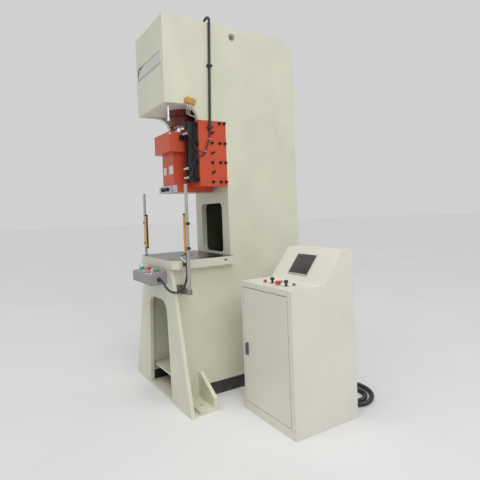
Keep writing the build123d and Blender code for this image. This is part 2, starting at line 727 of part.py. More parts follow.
def back_cover():
    """Bolted cover over the access hole, with pressed louvres and its screws."""
    width = ACCESS_WIDTH + 2 * COVER_MARGIN
    height = ACCESS_HEIGHT + 2 * COVER_MARGIN
    low_z = ACCESS_BOTTOM_Z - COVER_MARGIN
    y = (FRAME_HALF_DEPTH, FRAME_HALF_DEPTH + COVER_THICKNESS)
    cover = rounded_y(width, height, ACCESS_RADIUS, 0, low_z, y)
    pitch = ACCESS_HEIGHT / (LOUVRE_COUNT + 1)
    for row in range(1, LOUVRE_COUNT + 1):
        z = ACCESS_BOTTOM_Z + row * pitch
        slot_z = (z - LOUVRE_HEIGHT, z)
        half = LOUVRE_WIDTH / 2
        cover = cover - block((-half, half), (y[0] - 1, y[1] + 1), slot_z)
        hood = [
            (y[0], z + LOUVRE_HEIGHT),
            (y[1] + LOUVRE_HEIGHT, z),
            (y[1] + LOUVRE_HEIGHT, z - COVER_THICKNESS),
            (y[0], z + LOUVRE_HEIGHT - 2 * COVER_THICKNESS),
        ]
        cover = cover + profile_x(hood, (-half, half))
    pieces = [cover]
    edge_x = width / 2 - COVER_MARGIN / 2
    for x in (-edge_x, edge_x):
        for step in range(COVER_SCREW_ROWS):
            z = low_z + COVER_MARGIN / 2 + step * (height - COVER_MARGIN) / (COVER_SCREW_ROWS - 1)
            pieces.append(rod((x, y[1], z), (x, y[1] + COVER_SCREW_HEAD, z), COVER_SCREW_RADIUS))
    return joined(pieces)


def pedestal_front():
    """Flared front plate of the pedestal with its arched mouth."""
    half_top = HALF_WIDTH
    half_foot = PEDESTAL_FOOT_WIDTH / 2
    straight_z = TABLE_BOTTOM_Z - PEDESTAL_STRAIGHT
    outline = [
        (-half_foot, 0),
        (half_foot, 0),
        (half_top, straight_z),
        (half_top, TABLE_BOTTOM_Z),
        (-half_top, TABLE_BOTTOM_Z),
        (-half_top, straight_z),
    ]
    plate = profile_y(outline, (PEDESTAL_FRONT_Y, PEDESTAL_BACK_Y))
    shoulder = MOUTH_SHOULDER_WIDTH / 2
    mouth = Polyline(
        (-MOUTH_FOOT_WIDTH / 2, BASE_THICKNESS),
        (MOUTH_FOOT_WIDTH / 2, BASE_THICKNESS),
        (shoulder, MOUTH_TOP_Z),
        (-shoulder, MOUTH_TOP_Z),
        close=True,
    )
    mouth_face = make_face(mouth)
    top_corners = mouth_face.vertices().sort_by(Axis.Y)[-2:]
    mouth_face = fillet(top_corners, MOUTH_RADIUS)
    cutter = extrude(Plane.XZ * mouth_face, amount=WALL + 2, dir=(0, 1, 0))
    return plate - Pos(0, PEDESTAL_FRONT_Y - 1, 0) * cutter


def base_plate():
    """Floor plate of the frame and the shelf that catches the slugs."""
    x = (-INNER_X, INNER_X)
    floor = block(x, (PEDESTAL_BACK_Y, FRAME_HALF_DEPTH), (0, BASE_THICKNESS))
    shelf_y = (PEDESTAL_BACK_Y + SHELF_SETBACK, COLUMN_FACE_Y)
    shelf = block(x, shelf_y, (SHELF_Z - SHELF_THICKNESS, SHELF_Z))
    return group([floor, shelf])


def plinth_rail(side):
    """Channel under a side plate, open towards the middle."""
    outer = side * HALF_WIDTH
    inner = side * INNER_X
    web = 10.0
    points = [
        (outer, 0),
        (outer, PLINTH_HEIGHT),
        (inner, PLINTH_HEIGHT),
        (inner, PLINTH_HEIGHT - web),
        (outer - side * web, PLINTH_HEIGHT - web),
        (outer - side * web, web),
        (inner, web),
        (inner, 0),
    ]
    return profile_y(points, (PEDESTAL_BACK_Y, FRAME_HALF_DEPTH))


def anchor_foot():
    """Front right foot: pad with its bolt hole, gusset and wall rib."""
    inner = HALF_WIDTH
    outer = HALF_WIDTH + FOOT_REACH
    gusset_y = (-FOOT_GUSSET_Y - FOOT_GUSSET / 2, -FOOT_GUSSET_Y + FOOT_GUSSET / 2)
    pad_y = (gusset_y[1] - FOOT_PAD_LENGTH, gusset_y[1])
    pad = block((inner, outer), pad_y, (0, FOOT_PAD_THICKNESS))
    hole_x = ANCHOR_SPACING_X / 2
    hole_y = -ANCHOR_SPACING_Y / 2
    hole = upright(hole_x, hole_y, (-1, FOOT_PAD_THICKNESS + 1), ANCHOR_HOLE_RADIUS)
    points = [
        (inner, 0),
        (outer, 0),
        (outer, FOOT_EDGE_HEIGHT),
        (inner + FOOT_TOP_WIDTH, FOOT_HEIGHT),
        (inner, FOOT_HEIGHT),
    ]
    gusset = profile_y(points, gusset_y)
    corner = (inner + FOOT_TOP_WIDTH, gusset_y[0], FOOT_HEIGHT)
    shoulder = gusset.edges().filter_by(Axis.Y).sort_by_distance(corner)[0]
    gusset = fillet(shoulder, FOOT_TOP_WIDTH / 2)
    sight_x = inner + FOOT_SIGHT[0]
    sight_z = FOOT_SIGHT[1]
    sight = rod((sight_x, gusset_y[0] - 1, sight_z), (sight_x, gusset_y[1] + 1, sight_z), FOOT_SIGHT_RADIUS)
    rib = profile_x([(pad_y[0], 0), (gusset_y[0], 0), (gusset_y[0], FOOT_HEIGHT)], (inner, inner + FOOT_RIB))
    return pad + gusset + rib - hole - sight


def anchor_feet():
    """The four feet, two each side."""
    front_right = anchor_foot()
    back_right = mirror(front_right, about=Plane.XZ)
    return group([front_right, back_right, mirrored_x(front_right), mirrored_x(back_right)])


def lifting_tube():
    """Tube through the head for the lifting bar."""
    outer = rod((-HALF_WIDTH, LIFT_Y, LIFT_Z), (HALF_WIDTH, LIFT_Y, LIFT_Z), LIFT_OUTER_RADIUS)
    bore = rod((-HALF_WIDTH - 1, LIFT_Y, LIFT_Z), (HALF_WIDTH + 1, LIFT_Y, LIFT_Z), LIFT_BORE_RADIUS)
    return outer - bore


def work_table():
    """Bolster plate with its drop hole, two stopped T-slots and edge slot."""
    half = TABLE_WIDTH / 2
    outline = Polyline(
        (-half, TABLE_FRONT_Y + TABLE_CORNER),
        (-half + TABLE_CORNER, TABLE_FRONT_Y),
        (half - TABLE_CORNER, TABLE_FRONT_Y),
        (half, TABLE_FRONT_Y + TABLE_CORNER),
        (half, COLUMN_FACE_Y),
        (-half, COLUMN_FACE_Y),
        close=True,
    )
    plate = Pos(0, 0, TABLE_BOTTOM_Z) * extrude(make_face(outline), amount=TABLE_THICKNESS, dir=(0, 0, 1))
    top = TABLE_TOP_Z
    plate = plate - upright(0, RAM_Y, (TABLE_BOTTOM_Z - 1, top + 1), DROP_HOLE_RADIUS)
    slot_y = (SLOT_FRONT_Y, SLOT_REAR_Y)
    for x in (-SLOT_SPACING / 2, SLOT_SPACING / 2):
        neck = block((x - SLOT_NECK / 2, x + SLOT_NECK / 2), slot_y, (top - SLOT_DEPTH, top + 1))
        foot_z = (top - SLOT_DEPTH, top - SLOT_DEPTH + SLOT_FOOT_HEIGHT)
        foot = block((x - SLOT_WIDTH / 2, x + SLOT_WIDTH / 2), slot_y, foot_z)
        entry = upright(x, SLOT_FRONT_Y, (top - SLOT_DEPTH, top + 1), SLOT_ENTRY_RADIUS)
        plate = plate - neck - foot - entry
    slot_z = (TABLE_BOTTOM_Z + top + EDGE_SLOT_HEIGHT) / 2
    slot = Plane.YZ * Pos(EDGE_SLOT_Y, slot_z) * SlotOverall(EDGE_SLOT_LENGTH, EDGE_SLOT_HEIGHT)
    pocket = Pos(half - EDGE_SLOT_DEPTH, 0, 0) * extrude(slot, amount=EDGE_SLOT_DEPTH + 1, dir=(1, 0, 0))
    return plate - pocket


def liner_space():
    """Inner faces of the groove in a guide block: front, back and bottom."""
    gap = RUNNING_GAP + LINER_THICKNESS
    return EAR_Y[0] - gap, EAR_Y[1] + gap, EAR_X + gap


def guide_screw_holes():
    """Seats of the screws in the right guide block: (seat, direction, kind)."""
    seats = []
    for row, z in enumerate(GUIDE_ROWS_Z):
        for column, y in enumerate(GUIDE_COLUMNS_Y):
            if row == len(GUIDE_ROWS_Z) - 1 and column == len(GUIDE_COLUMNS_Y) - 1:
                continue
            seats.append(((HALF_WIDTH, y, z), (1, 0, 0), "side"))
    for z in ADJUSTER_ROWS_Z:
        low, high = ADJUSTER_PAIR_Y
        seats.append(((HALF_WIDTH, low, z - ADJUSTER_PAIR_RISE / 2), (1, 0, 0), "adjuster"))
        seats.append(((HALF_WIDTH, high, z + ADJUSTER_PAIR_RISE / 2), (1, 0, 0), "adjuster"))
    for z in FRONT_BOLT_ROWS_Z:
        seats.append(((HALF_WIDTH - FRONT_BOLT_INSET, GUIDE_FRONT_Y, z), (0, -1, 0), "front"))
    return seats


def guide_screw(seat, out, kind):
    """One screw of a guide block."""
    if kind == "adjuster":
        return cap_screw(seat, out, ADJUSTER_RADIUS, GUIDE_BOLT_HEAD, ADJUSTER_RADIUS / 2, GUIDE_SHANK_LENGTH)
    return cap_screw(seat, out, GUIDE_BOLT_RADIUS, GUIDE_BOLT_HEAD, GUIDE_SHANK_RADIUS, GUIDE_SHANK_LENGTH)


def guide_block():
    """Right guide block, grooved for the slide's ear, drilled for its screws."""
    z = (GUIDE_BOTTOM_Z, THROAT_STEP_Z)
    body = block((GUIDE_INNER_X, HALF_WIDTH), (GUIDE_FRONT_Y, COLUMN_FACE_Y), z)
    front, back, bottom = liner_space()
    groove = block((GUIDE_INNER_X - 1, bottom), (front, back), (z[0] - 1, z[1] + 1))
    body = body - groove
    for seat, out, kind in guide_screw_holes():
        radius = ADJUSTER_RADIUS / 2 if kind == "adjuster" else GUIDE_SHANK_RADIUS
        body = body - screw_hole(seat, out, radius, GUIDE_SHANK_LENGTH)
    return body


def guide_liners():
    """Bronze strips on the three faces of each groove."""
    z = (GUIDE_BOTTOM_Z, THROAT_STEP_Z)
    front, back, bottom = liner_space()
    inner_x = GUIDE_INNER_X + 1
    front_strip = block((inner_x, bottom - LINER_THICKNESS), (front, front + LINER_THICKNESS), z)
    back_strip = block((inner_x, bottom - LINER_THICKNESS), (back - LINER_THICKNESS, back), z)
    bottom_strip = block((bottom - LINER_THICKNESS, bottom), (front, back), z)
    right = [front_strip, back_strip, bottom_strip]
    return group(right + [mirrored_x(strip) for strip in right])


def guide_screws():
    """All screws of both guide blocks."""
    right = [guide_screw(*seat) for seat in guide_screw_holes()]
    return group(right + [mirrored_x(screw) for screw in right])


def clamp_seats():
    """Seats of the screws on the tool clamp's front."""
    z = CLAMP_BOTTOM_Z + CLAMP_HEIGHT / 2
    half = CLAMP_BOLT_SPACING / 2
    return [(x, SLIDE_FRONT_Y - CLAMP_CORE, z) for x in (-half, half)]


def flange_seats():
    """Seats of the screws on the rod's flange."""
    seats = []
    for step in range(ROD_FLANGE_BOLTS):
        angle = math.radians(30 + step * 360 / ROD_FLANGE_BOLTS)
        x = ROD_FLANGE_CIRCLE * math.cos(angle)
        y = RAM_Y + ROD_FLANGE_CIRCLE * math.sin(angle)
        seats.append((x, y, SLIDE_TOP_Z + ROD_FLANGE_HEIGHT))
    return seats


def slide_body():
    """Ram body with its nose, cheeks, side ears and shank bore."""
    body = block((-SLIDE_HALF, SLIDE_HALF), (SLIDE_FRONT_Y, SLIDE_BACK_Y), (SLIDE_BOTTOM_Z, SLIDE_TOP_Z))
    nose_y = (NOSE_FRONT_Y, GUIDE_FRONT_Y - NOSE_CHAMFER)
    nose = block((-NOSE_WIDTH / 2, NOSE_WIDTH / 2), nose_y, (NOSE_BOTTOM_Z, SLIDE_TOP_Z))
    nose = chamfer(nose.edges().filter_by(Axis.Z), NOSE_CHAMFER)
    cheek_line = [
        (CHEEK_FRONT_Y, SLIDE_TOP_Z),
        (CHEEK_FRONT_Y + CHEEK_SLOPE_LENGTH, CHEEK_TOP_Z),
        (SLIDE_BACK_Y, CHEEK_TOP_Z),
        (SLIDE_BACK_Y, SLIDE_TOP_Z),
    ]
    cheek = profile_x(cheek_line, (SLIDE_HALF - CHEEK_THICKNESS, SLIDE_HALF))
    ear = block((SLIDE_HALF, EAR_X), EAR_Y, (EAR_BOTTOM_Z, CHEEK_TOP_Z))
    body = body + nose + cheek + mirrored_x(cheek) + ear + mirrored_x(ear)
    shank = upright(0, RAM_Y, (SLIDE_BOTTOM_Z - 1, SLIDE_BOTTOM_Z + SHANK_BORE_DEPTH), SHANK_BORE_RADIUS)
    body = body - shank
    for seat in clamp_seats():
        body = body - screw_hole(seat, (0, -1, 0), CLAMP_SHANK_RADIUS, CLAMP_SHANK_LENGTH)
    for seat in flange_seats():
        body = body - screw_hole(seat, (0, 0, 1), FLANGE_SHANK_RADIUS, FLANGE_SHANK_LENGTH)
    return body


def tool_clamp():
    """Steel clamp bar across the slide's lower front."""
    z = (CLAMP_BOTTOM_Z, CLAMP_BOTTOM_Z + CLAMP_HEIGHT)
    wings = block((-CLAMP_WIDTH / 2, CLAMP_WIDTH / 2), (SLIDE_FRONT_Y - CLAMP_WING, SLIDE_FRONT_Y), z)
    core = block((-CLAMP_CORE_WIDTH / 2, CLAMP_CORE_WIDTH / 2), (SLIDE_FRONT_Y - CLAMP_CORE, SLIDE_FRONT_Y), z)
    core = chamfer(core.edges().filter_by(Axis.Z).sort_by(Axis.Y)[:2], CLAMP_CHAMFER)
    clamp = wings + core
    for seat in clamp_seats():
        clamp = clamp - screw_hole(seat, (0, -1, 0), CLAMP_SHANK_RADIUS, CLAMP_SHANK_LENGTH)
    return clamp


def slide_screws():
    """Screws of the tool clamp and of the rod's flange."""
    screws = []
    for seat in clamp_seats():
        shank = (CLAMP_SHANK_RADIUS, CLAMP_SHANK_LENGTH)
        screws.append(cap_screw(seat, (0, -1, 0), CLAMP_BOLT_RADIUS, CLAMP_BOLT_HEAD, *shank))
    for seat in flange_seats():
        shank = (FLANGE_SHANK_RADIUS, FLANGE_SHANK_LENGTH)
        screws.append(cap_screw(seat, (0, 0, 1), FLANGE_BOLT_RADIUS, FLANGE_BOLT_RADIUS, *shank))
    return group(screws)


def piston_rod():
    """Rod with its lower flange and piston, turned in one piece."""
    piston_top = BARREL_TOP_Z - BARREL_END - 1
    piston_z = (piston_top - PISTON_HEIGHT, piston_top)
    flange = upright(0, RAM_Y, (SLIDE_TOP_Z, SLIDE_TOP_Z + ROD_FLANGE_HEIGHT), ROD_FLANGE_RADIUS)
    shaft = upright(0, RAM_Y, (SLIDE_TOP_Z, piston_top), ROD_RADIUS)
    piston = upright(0, RAM_Y, piston_z, BARREL_BORE_RADIUS - PISTON_CLEARANCE)
    piece = flange + shaft + piston
    for seat in flange_seats():
        piece = piece - screw_hole(seat, (0, 0, 1), FLANGE_SHANK_RADIUS, FLANGE_SHANK_LENGTH)
    return piece


def cylinder_barrel():
    """Barrel through the head's bottom plate, closed at the top."""
    outer = upright(0, RAM_Y, (BARREL_BOTTOM_Z, BARREL_TOP_Z), BARREL_RADIUS)
    collar_z = SOFFIT_Z + SOFFIT_THICKNESS
    collar = upright(0, RAM_Y, (collar_z, collar_z + BARREL_COLLAR_HEIGHT), BARREL_COLLAR_RADIUS)
    bore = upright(0, RAM_Y, (BARREL_BOTTOM_Z - 1, BARREL_TOP_Z - BARREL_END), BARREL_BORE_RADIUS)
    return outer + collar - bore


def ring_nut():
    """Notched nut that pulls the barrel's collar down on the head."""
    z = (SOFFIT_Z - RING_NUT_HEIGHT, SOFFIT_Z)
    nut = upright(0, RAM_Y, z, RING_NUT_RADIUS)
    nut = nut - upright(0, RAM_Y, (z[0] - 1, z[1] + 1), BARREL_RADIUS)
    for step in range(RING_NUT_NOTCHES):
        angle = math.radians(15 + step * 360 / RING_NUT_NOTCHES)
        x = RING_NUT_RADIUS * math.cos(angle)
        y = RAM_Y + RING_NUT_RADIUS * math.sin(angle)
        nut = nut - upright(x, y, (z[0] - 1, z[0] + RING_NUT_HEIGHT / 2), NOTCH_RADIUS)
    return nut


def cylinder_gland():
    """Rod gland in the barrel's mouth, with its screws."""
    z = (BARREL_BOTTOM_Z, BARREL_BOTTOM_Z + GLAND_HEIGHT)
    gland = upright(0, RAM_Y, z, BARREL_BORE_RADIUS)
    gland = gland - upright(0, RAM_Y, (z[0] - 1, z[1] + 1), ROD_RADIUS + PISTON_CLEARANCE)
    for step in range(GLAND_BOLTS):
        angle = math.radians(step * 360 / GLAND_BOLTS)
        x = GLAND_BOLT_CIRCLE * math.cos(angle)
        y = RAM_Y + GLAND_BOLT_CIRCLE * math.sin(angle)
        gland = gland + upright(x, y, (z[0] - GLAND_BOLT_HEAD, z[0]), GLAND_BOLT_RADIUS)
    return gland


def valve_block():
    """Manifold with its solenoid valves on top of the cylinder."""
    x, y, z = MANIFOLD
    top = BARREL_TOP_Z + z
    half_x, half_y = VALVE_HALF
    coil_z = top + COIL_RISE
    pieces = [block((-x / 2, x / 2), (RAM_Y - y / 2, RAM_Y + y / 2), (BARREL_TOP_Z, top))]
    for centre in (-VALVE_X, VALVE_X):
        valve_x = (centre - half_x, centre + half_x)
        pieces.append(block(valve_x, (RAM_Y - half_y, RAM_Y + half_y), (top, top + VALVE_HEIGHT)))
        for side in (-1, 1):
            start = (centre, RAM_Y + side * half_y, coil_z)
            end = (centre, RAM_Y + side * (half_y + COIL_LENGTH), coil_z)
            pieces.append(rod(start, end, COIL_RADIUS))
    return joined(pieces)


def oil_tank():
    """Sheet tank at the foot of the column with a filler cap on its lid."""
    half = TANK_WIDTH / 2
    low = BASE_THICKNESS
    top = low + TANK_HEIGHT
    outer = block((-half, half), TANK_Y, (low, top))
    inner_y = (TANK_Y[0] + TANK_SHEET, TANK_Y[1] - TANK_SHEET)
    inner = block((-half + TANK_SHEET, half - TANK_SHEET), inner_y, (low + TANK_SHEET, top - TANK_SHEET))
    filler_place = (-half + FILLER_INSET, TANK_Y[0] + FILLER_INSET)
    filler = upright(*filler_place, (top, top + FILLER_HEIGHT), FILLER_RADIUS)
    return outer - inner + filler


def pump_motor():
    """Upright flange motor on the tank lid, finned, with its terminal box."""
    low = BASE_THICKNESS + TANK_HEIGHT
    y = sum(TANK_Y) / 2
    body_z = (low + MOTOR_FLANGE_HEIGHT, low + MOTOR_FLANGE_HEIGHT + MOTOR_HEIGHT)
    middle_z = sum(body_z) / 2
    flange = upright(0, y, (low, body_z[0]), MOTOR_FLANGE_RADIUS)
    body = upright(0, y, body_z, MOTOR_CORE_RADIUS)
    fin_pair = Box(MOTOR_RADIUS * 2, FIN_THICKNESS, MOTOR_HEIGHT - 2 * FIN_INSET)
    for step in range(MOTOR_FINS // 2):
        body = body + Pos(0, y, middle_z) * Rot(0, 0, step * 360 / MOTOR_FINS) * fin_pair
    cowl = upright(0, y, (body_z[1], body_z[1] + COWL_HEIGHT), MOTOR_RADIUS)
    terminal_y = (y - TERMINAL_HALF_Y, y + TERMINAL_HALF_Y)
    terminal = block(TERMINAL_X, terminal_y, (middle_z - TERMINAL_HALF_Z, middle_z + TERMINAL_HALF_Z))
    return flange + body + cowl + terminal


def oil_pipes():
    """Pressure and return pipes to the cylinder, and the drain below the head."""
    pipes = []
    start_z = BASE_THICKNESS + TANK_HEIGHT
    for side in (-1, 1):
        x = side * PIPE_SPACING / 2
        riser_x = side * (TANK_WIDTH / 2 - PIPE_RISER_INSET)
        points = (
            (riser_x, PIPE_RISER_Y, start_z),
            (riser_x, PIPE_RISER_Y, PIPE_RUN_Z - PIPE_CORNER),
            (x, PIPE_RISER_Y - PIPE_CORNER, PIPE_RUN_Z),
            (x, RAM_Y + MANIFOLD[1] / 2, PIPE_RUN_Z),
        )
        pipes.append(routed_tube(points, PIPE_RADIUS, [PIPE_BEND, PIPE_BEND]))
    drain_z = (DRAIN_PIPE_BOTTOM_Z, SOFFIT_Z + SOFFIT_THICKNESS)
    drain = upright(DRAIN_PIPE_X, DRAIN_PIPE_Y, drain_z, DRAIN_PIPE_RADIUS)
    fitting_z = (DRAIN_PIPE_BOTTOM_Z - DRAIN_FITTING_HEIGHT, DRAIN_PIPE_BOTTOM_Z)
    fitting = upright(DRAIN_PIPE_X, DRAIN_PIPE_Y, fitting_z, DRAIN_FITTING_RADIUS)
    return group(pipes + [drain + fitting])


def sensor_rail():
    """Grooved rail on the right guide block that carries the stroke sensors."""
    y = (GUIDE_FRONT_Y - RAIL_DEPTH, GUIDE_FRONT_Y)
    rail = block(RAIL_X, y, RAIL_Z)
    middle = sum(RAIL_X) / 2
    groove_x = (middle - RAIL_GROOVE / 2, middle + RAIL_GROOVE / 2)
    groove = block(groove_x, (y[0] - 1, y[0] + RAIL_GROOVE), (RAIL_Z[0] - 1, RAIL_Z[1] + 1))
    side_y = (y[0] + RAIL_SIDE_GROOVE_Y, y[0] + RAIL_SIDE_GROOVE_Y + RAIL_GROOVE)
    side_x = (RAIL_X[1] - RAIL_SIDE_GROOVE_DEPTH, RAIL_X[1] + 1)
    side = block(side_x, side_y, (RAIL_Z[0] - 1, RAIL_Z[1] + 1))
    return rail - groove - side


def proximity_sensors():
    """Three threaded sensors across the rail, each held by two nuts."""
    sensors = []
    for z in SENSOR_ROWS_Z:
        body = rod((SENSOR_X[0], SENSOR_Y, z), (SENSOR_X[1], SENSOR_Y, z), SENSOR_RADIUS)
        for x in SENSOR_NUT_X:
            body = body + rod((x, SENSOR_Y, z), (x + SENSOR_NUT, SENSOR_Y, z), SENSOR_NUT_RADIUS)
        sensors.append(body)
    return group(sensors)


def trigger_cam():
    """Tab on the slide's nose that passes the sensors."""
    x = (NOSE_WIDTH / 2, SENSOR_X[0] - TRIGGER_GAP)
    foot_y = (SENSOR_Y - TRIGGER_FOOT / 2, SENSOR_Y + TRIGGER_FOOT / 2)
    foot = block((x[0], x[0] + TRIGGER_THICKNESS), foot_y, TRIGGER_Z)
    tab = block(x, (SENSOR_Y - TRIGGER_THICKNESS / 2, SENSOR_Y + TRIGGER_THICKNESS / 2), TRIGGER_Z)
    return foot + tab


def side_conduit():
    """Conduit out of the top plate, over the edge and down the side."""
    x = SIDE_CONDUIT_X
    points = (
        (CONDUIT_GLAND_X, CONDUIT_TOP_Y, FRAME_HEIGHT - TOP_RECESS - WALL),
        (CONDUIT_GLAND_X, CONDUIT_TOP_Y, CONDUIT_CREST_Z),
        (x, CONDUIT_TOP_Y, CONDUIT_CREST_Z),
        (x, CONDUIT_END_Y, CONDUIT_END_Z),
    )
    return routed_tube(points, CONDUIT_RADIUS, [CONDUIT_CORNER, CONDUIT_CORNER])


def sensor_wiring():
    """The side conduit, the cable below it and its three leads."""
    x = SIDE_CONDUIT_X
    joint_y, joint_z = LEAD_JOINT
    lean = (CONDUIT_END_Y - CONDUIT_TOP_Y) / (CONDUIT_CREST_Z - CONDUIT_END_Z)
    # the cable leaves the conduit straight, then drifts forward to the joint
    cable_points = (
        (x, CONDUIT_END_Y, CONDUIT_END_Z),
        (x, CONDUIT_END_Y + CABLE_STRAIGHT * lean, CONDUIT_END_Z - CABLE_STRAIGHT),
        (x, CONDUIT_END_Y - CABLE_DRIFT[0], CONDUIT_END_Z - CABLE_DRIFT[1]),
        (x, joint_y, joint_z),
    )
    cable = routed_tube(cable_points, LEAD_CABLE_RADIUS)
    leads = []
    for step, z in enumerate(SENSOR_ROWS_Z):
        fan = (step - 1) * LEAD_FAN
        # each lead drops its height towards its sensor step by step on the way round
        lead_points = (
            (x, joint_y + LEAD_START[0], joint_z + LEAD_START[1] + fan),
            (x, LEAD_EDGE_Y, joint_z + (z - joint_z) / 8 - LEAD_EDGE_DROP),
            (LEAD_CORNER_X, LEAD_CORNER_Y, joint_z + (z - joint_z) / 5),
            (RAIL_X[1] + 3 * LEAD_RADIUS, SENSOR_Y + LEAD_TURN, z - (z - joint_z) / 4),
            (SENSOR_X[1] + LEAD_EXIT, SENSOR_Y, z),
            (SENSOR_X[1], SENSOR_Y, z),
        )
        leads.append(routed_tube(lead_points, LEAD_RADIUS))
    return group([side_conduit(), cable] + leads)


def lube_distributor():
    """Brass distributor block on the right side, with ports and screws."""
    x, y, z = DISTRIBUTOR
    body = Box(x, y, z)
    bevel = Rot(45, 0, 0) * Box(x + 2, LUBE_CHAMFER, LUBE_CHAMFER)
    head = Rot(0, 90, 0) * Cylinder(*DISTRIBUTOR_SCREW)
    for side in (-1, 1):
        body = body - Pos(0, side * y / 2, z / 2) * bevel
        screw_x = (x + DISTRIBUTOR_SCREW[1]) / 2
        body = body + Pos(screw_x, side * DISTRIBUTOR_SCREW_Y, DISTRIBUTOR_SCREW_RISE) * head
    port = Cylinder(LUBE_PORT_RADIUS, LUBE_PORT_LENGTH)
    for step in range(LUBE_PORTS):
        offset = (step - (LUBE_PORTS - 1) / 2) * LUBE_PITCH
        body = body + Pos(LUBE_OFFSET, offset, -(z + LUBE_PORT_LENGTH) / 2) * port
    for step in (-1, 0, 1):
        meter = Cylinder(METER_RADIUS, METER_HEIGHT)
        body = body + Pos(LUBE_OFFSET, step * METER_PITCH, (z + METER_HEIGHT) / 2) * meter
    return Pos(HALF_WIDTH + x / 2, DISTRIBUTOR_Y, DISTRIBUTOR_Z) * Rot(DISTRIBUTOR_TILT, 0, 0) * body


def lube_tubes():
    """Thin tubes from the distributor, in under the arch, to the guide block's top."""
    tubes = []
    tilt = math.radians(DISTRIBUTOR_TILT)
    for step in range(LUBE_TUBES):
        offset = (step + 1 - (LUBE_PORTS - 1) / 2) * LUBE_PITCH
        drop = DISTRIBUTOR[2] / 2 + LUBE_PORT_LENGTH
        y = DISTRIBUTOR_Y + offset * math.cos(tilt) + drop * math.sin(tilt)
        z = DISTRIBUTOR_Z + offset * math.sin(tilt) - drop * math.cos(tilt)
        x = HALF_WIDTH + DISTRIBUTOR[0] / 2 + LUBE_OFFSET
        end_x = LUBE_END_X - step * LUBE_PITCH
        end_y = GUIDE_FRONT_Y + LUBE_END_INSET
        # straight out of the port, round the plate's lower edge, down on the guide block
        points = (
            (x, y, z),
            (x, y + LUBE_DROP * math.sin(tilt), z - LUBE_DROP * math.cos(tilt)),
            (x - LUBE_TURN[0], y - LUBE_TURN[1], z - LUBE_TURN[2]),
            (INNER_X - LUBE_EDGE[0], y + LUBE_EDGE[1], z - LUBE_EDGE[2]),
            (end_x + LUBE_LANDING[0], end_y - LUBE_LANDING[1], THROAT_STEP_Z + LUBE_LANDING[2]),
            (end_x, end_y, THROAT_STEP_Z + LUBE_DROP),
            (end_x, end_y, THROAT_STEP_Z),
        )
        tubes.append(routed_tube(points, LUBE_TUBE_RADIUS))
    return group(tubes)


def curtain_posts():
    """Two round posts beside the table."""
    pieces = []
    for side in (-1, 1):
        top = POST_Z[1] if side > 0 else POST_Z[1] - LEFT_POST_DROP
        post = upright(side * POST_X, POST_Y, (POST_Z[0], top), POST_RADIUS)
        pieces.append(post - upright(side * POST_X, POST_Y, (POST_Z[0] - 1, top + 1), POST_BORE_RADIUS))
    return group(pieces)


def curtain_bars():
    """Two sensing bars with end caps, facing each other across the table."""
    bars = []
    for side in (-1, 1):
        x = side * (POST_X - BAR_OFFSET)
        half_x, half_y = BAR_SECTION[0] / 2, BAR_SECTION[1] / 2
        body = block((x - half_x, x + half_x), (POST_Y - half_y, POST_Y + half_y), BAR_Z)
        body = chamfer(body.edges().filter_by(Axis.Z), BAR_CHAMFER)
        face_x = x - side * half_x
        lens_x = sorted((face_x, face_x + side * LENS_DEPTH))
        lens_y = (POST_Y - half_y + LENS_RIM, POST_Y + half_y - LENS_RIM)
        bars.append(body - block(lens_x, lens_y, (BAR_Z[0] + BAR_CAP, BAR_Z[1] - BAR_CAP)))
    return group(bars)


def curtain_brackets():
    """Brackets of the posts on the side plates, and the clamps of the bars."""
    pieces = []
    wall = block((HALF_WIDTH, HALF_WIDTH + BRACKET_SHEET), BRACKET_PLATE_Y, BRACKET_PLATE_Z)
    arm_y = (POST_Y - BRACKET_SHEET / 2, POST_Y + BRACKET_SHEET / 2)
    low, high = BRACKET_PLATE_Z
    foot_z = low + BRACKET_ARM_RISE
    arm_line = [(HALF_WIDTH, low), (POST_X, foot_z), (POST_X, foot_z + BRACKET_ARM_HEIGHT), (HALF_WIDTH, high)]
    arm = profile_y(arm_line, arm_y)
    collar = upright(POST_X, POST_Y, (foot_z, foot_z + BRACKET_COLLAR_HEIGHT), BRACKET_COLLAR_RADIUS)
    post = upright(POST_X, POST_Y, (low, high), POST_RADIUS)
    floor_cap = upright(POST_X, POST_Y, (foot_z, POST_Z[0]), POST_RADIUS)
    screw_seat = (HALF_WIDTH + BRACKET_SHEET, BRACKET_PLATE_Y[0] + BRACKET_SCREW_INSET, BRACKET_SCREW_Z)
    screw = cap_screw(screw_seat, (1, 0, 0), *BRACKET_SCREW, BRACKET_SHEET)
    bracket = wall + arm + collar - post + floor_cap + screw
    pieces.extend([bracket, mirrored_x(bracket)])
    half = CLAMP_BLOCK / 2
    bar_face = POST_X - BAR_OFFSET + BAR_SECTION[0] / 2
    knob_x = POST_X + POST_RADIUS + CLAMP_WRAP
    for z in CLAMP_ROWS_Z:
        clamp = block((bar_face, knob_x), (POST_Y - half, POST_Y + half), (z - half, z + half))
        clamp = clamp - upright(POST_X, POST_Y, (z - half - 1, z + half + 1), POST_RADIUS)
        clamp = clamp + rod((knob_x, POST_Y, z), (knob_x + CLAMP_KNOB_LENGTH, POST_Y, z), CLAMP_KNOB_RADIUS)
        pieces.extend([clamp, mirrored_x(clamp)])
    return group(pieces)


def on_box(place):
    """A place on the button box's sloping lid, with its axis square to the lid."""
    x, from_back = place
    z = BOX_BACK_Z - from_back * (BOX_BACK_Z - BOX_FRONT_Z) / BOX_DEPTH
    return Pos(x, BOX_BACK_Y - from_back, z) * Rot(BOX_TILT, 0, 0)


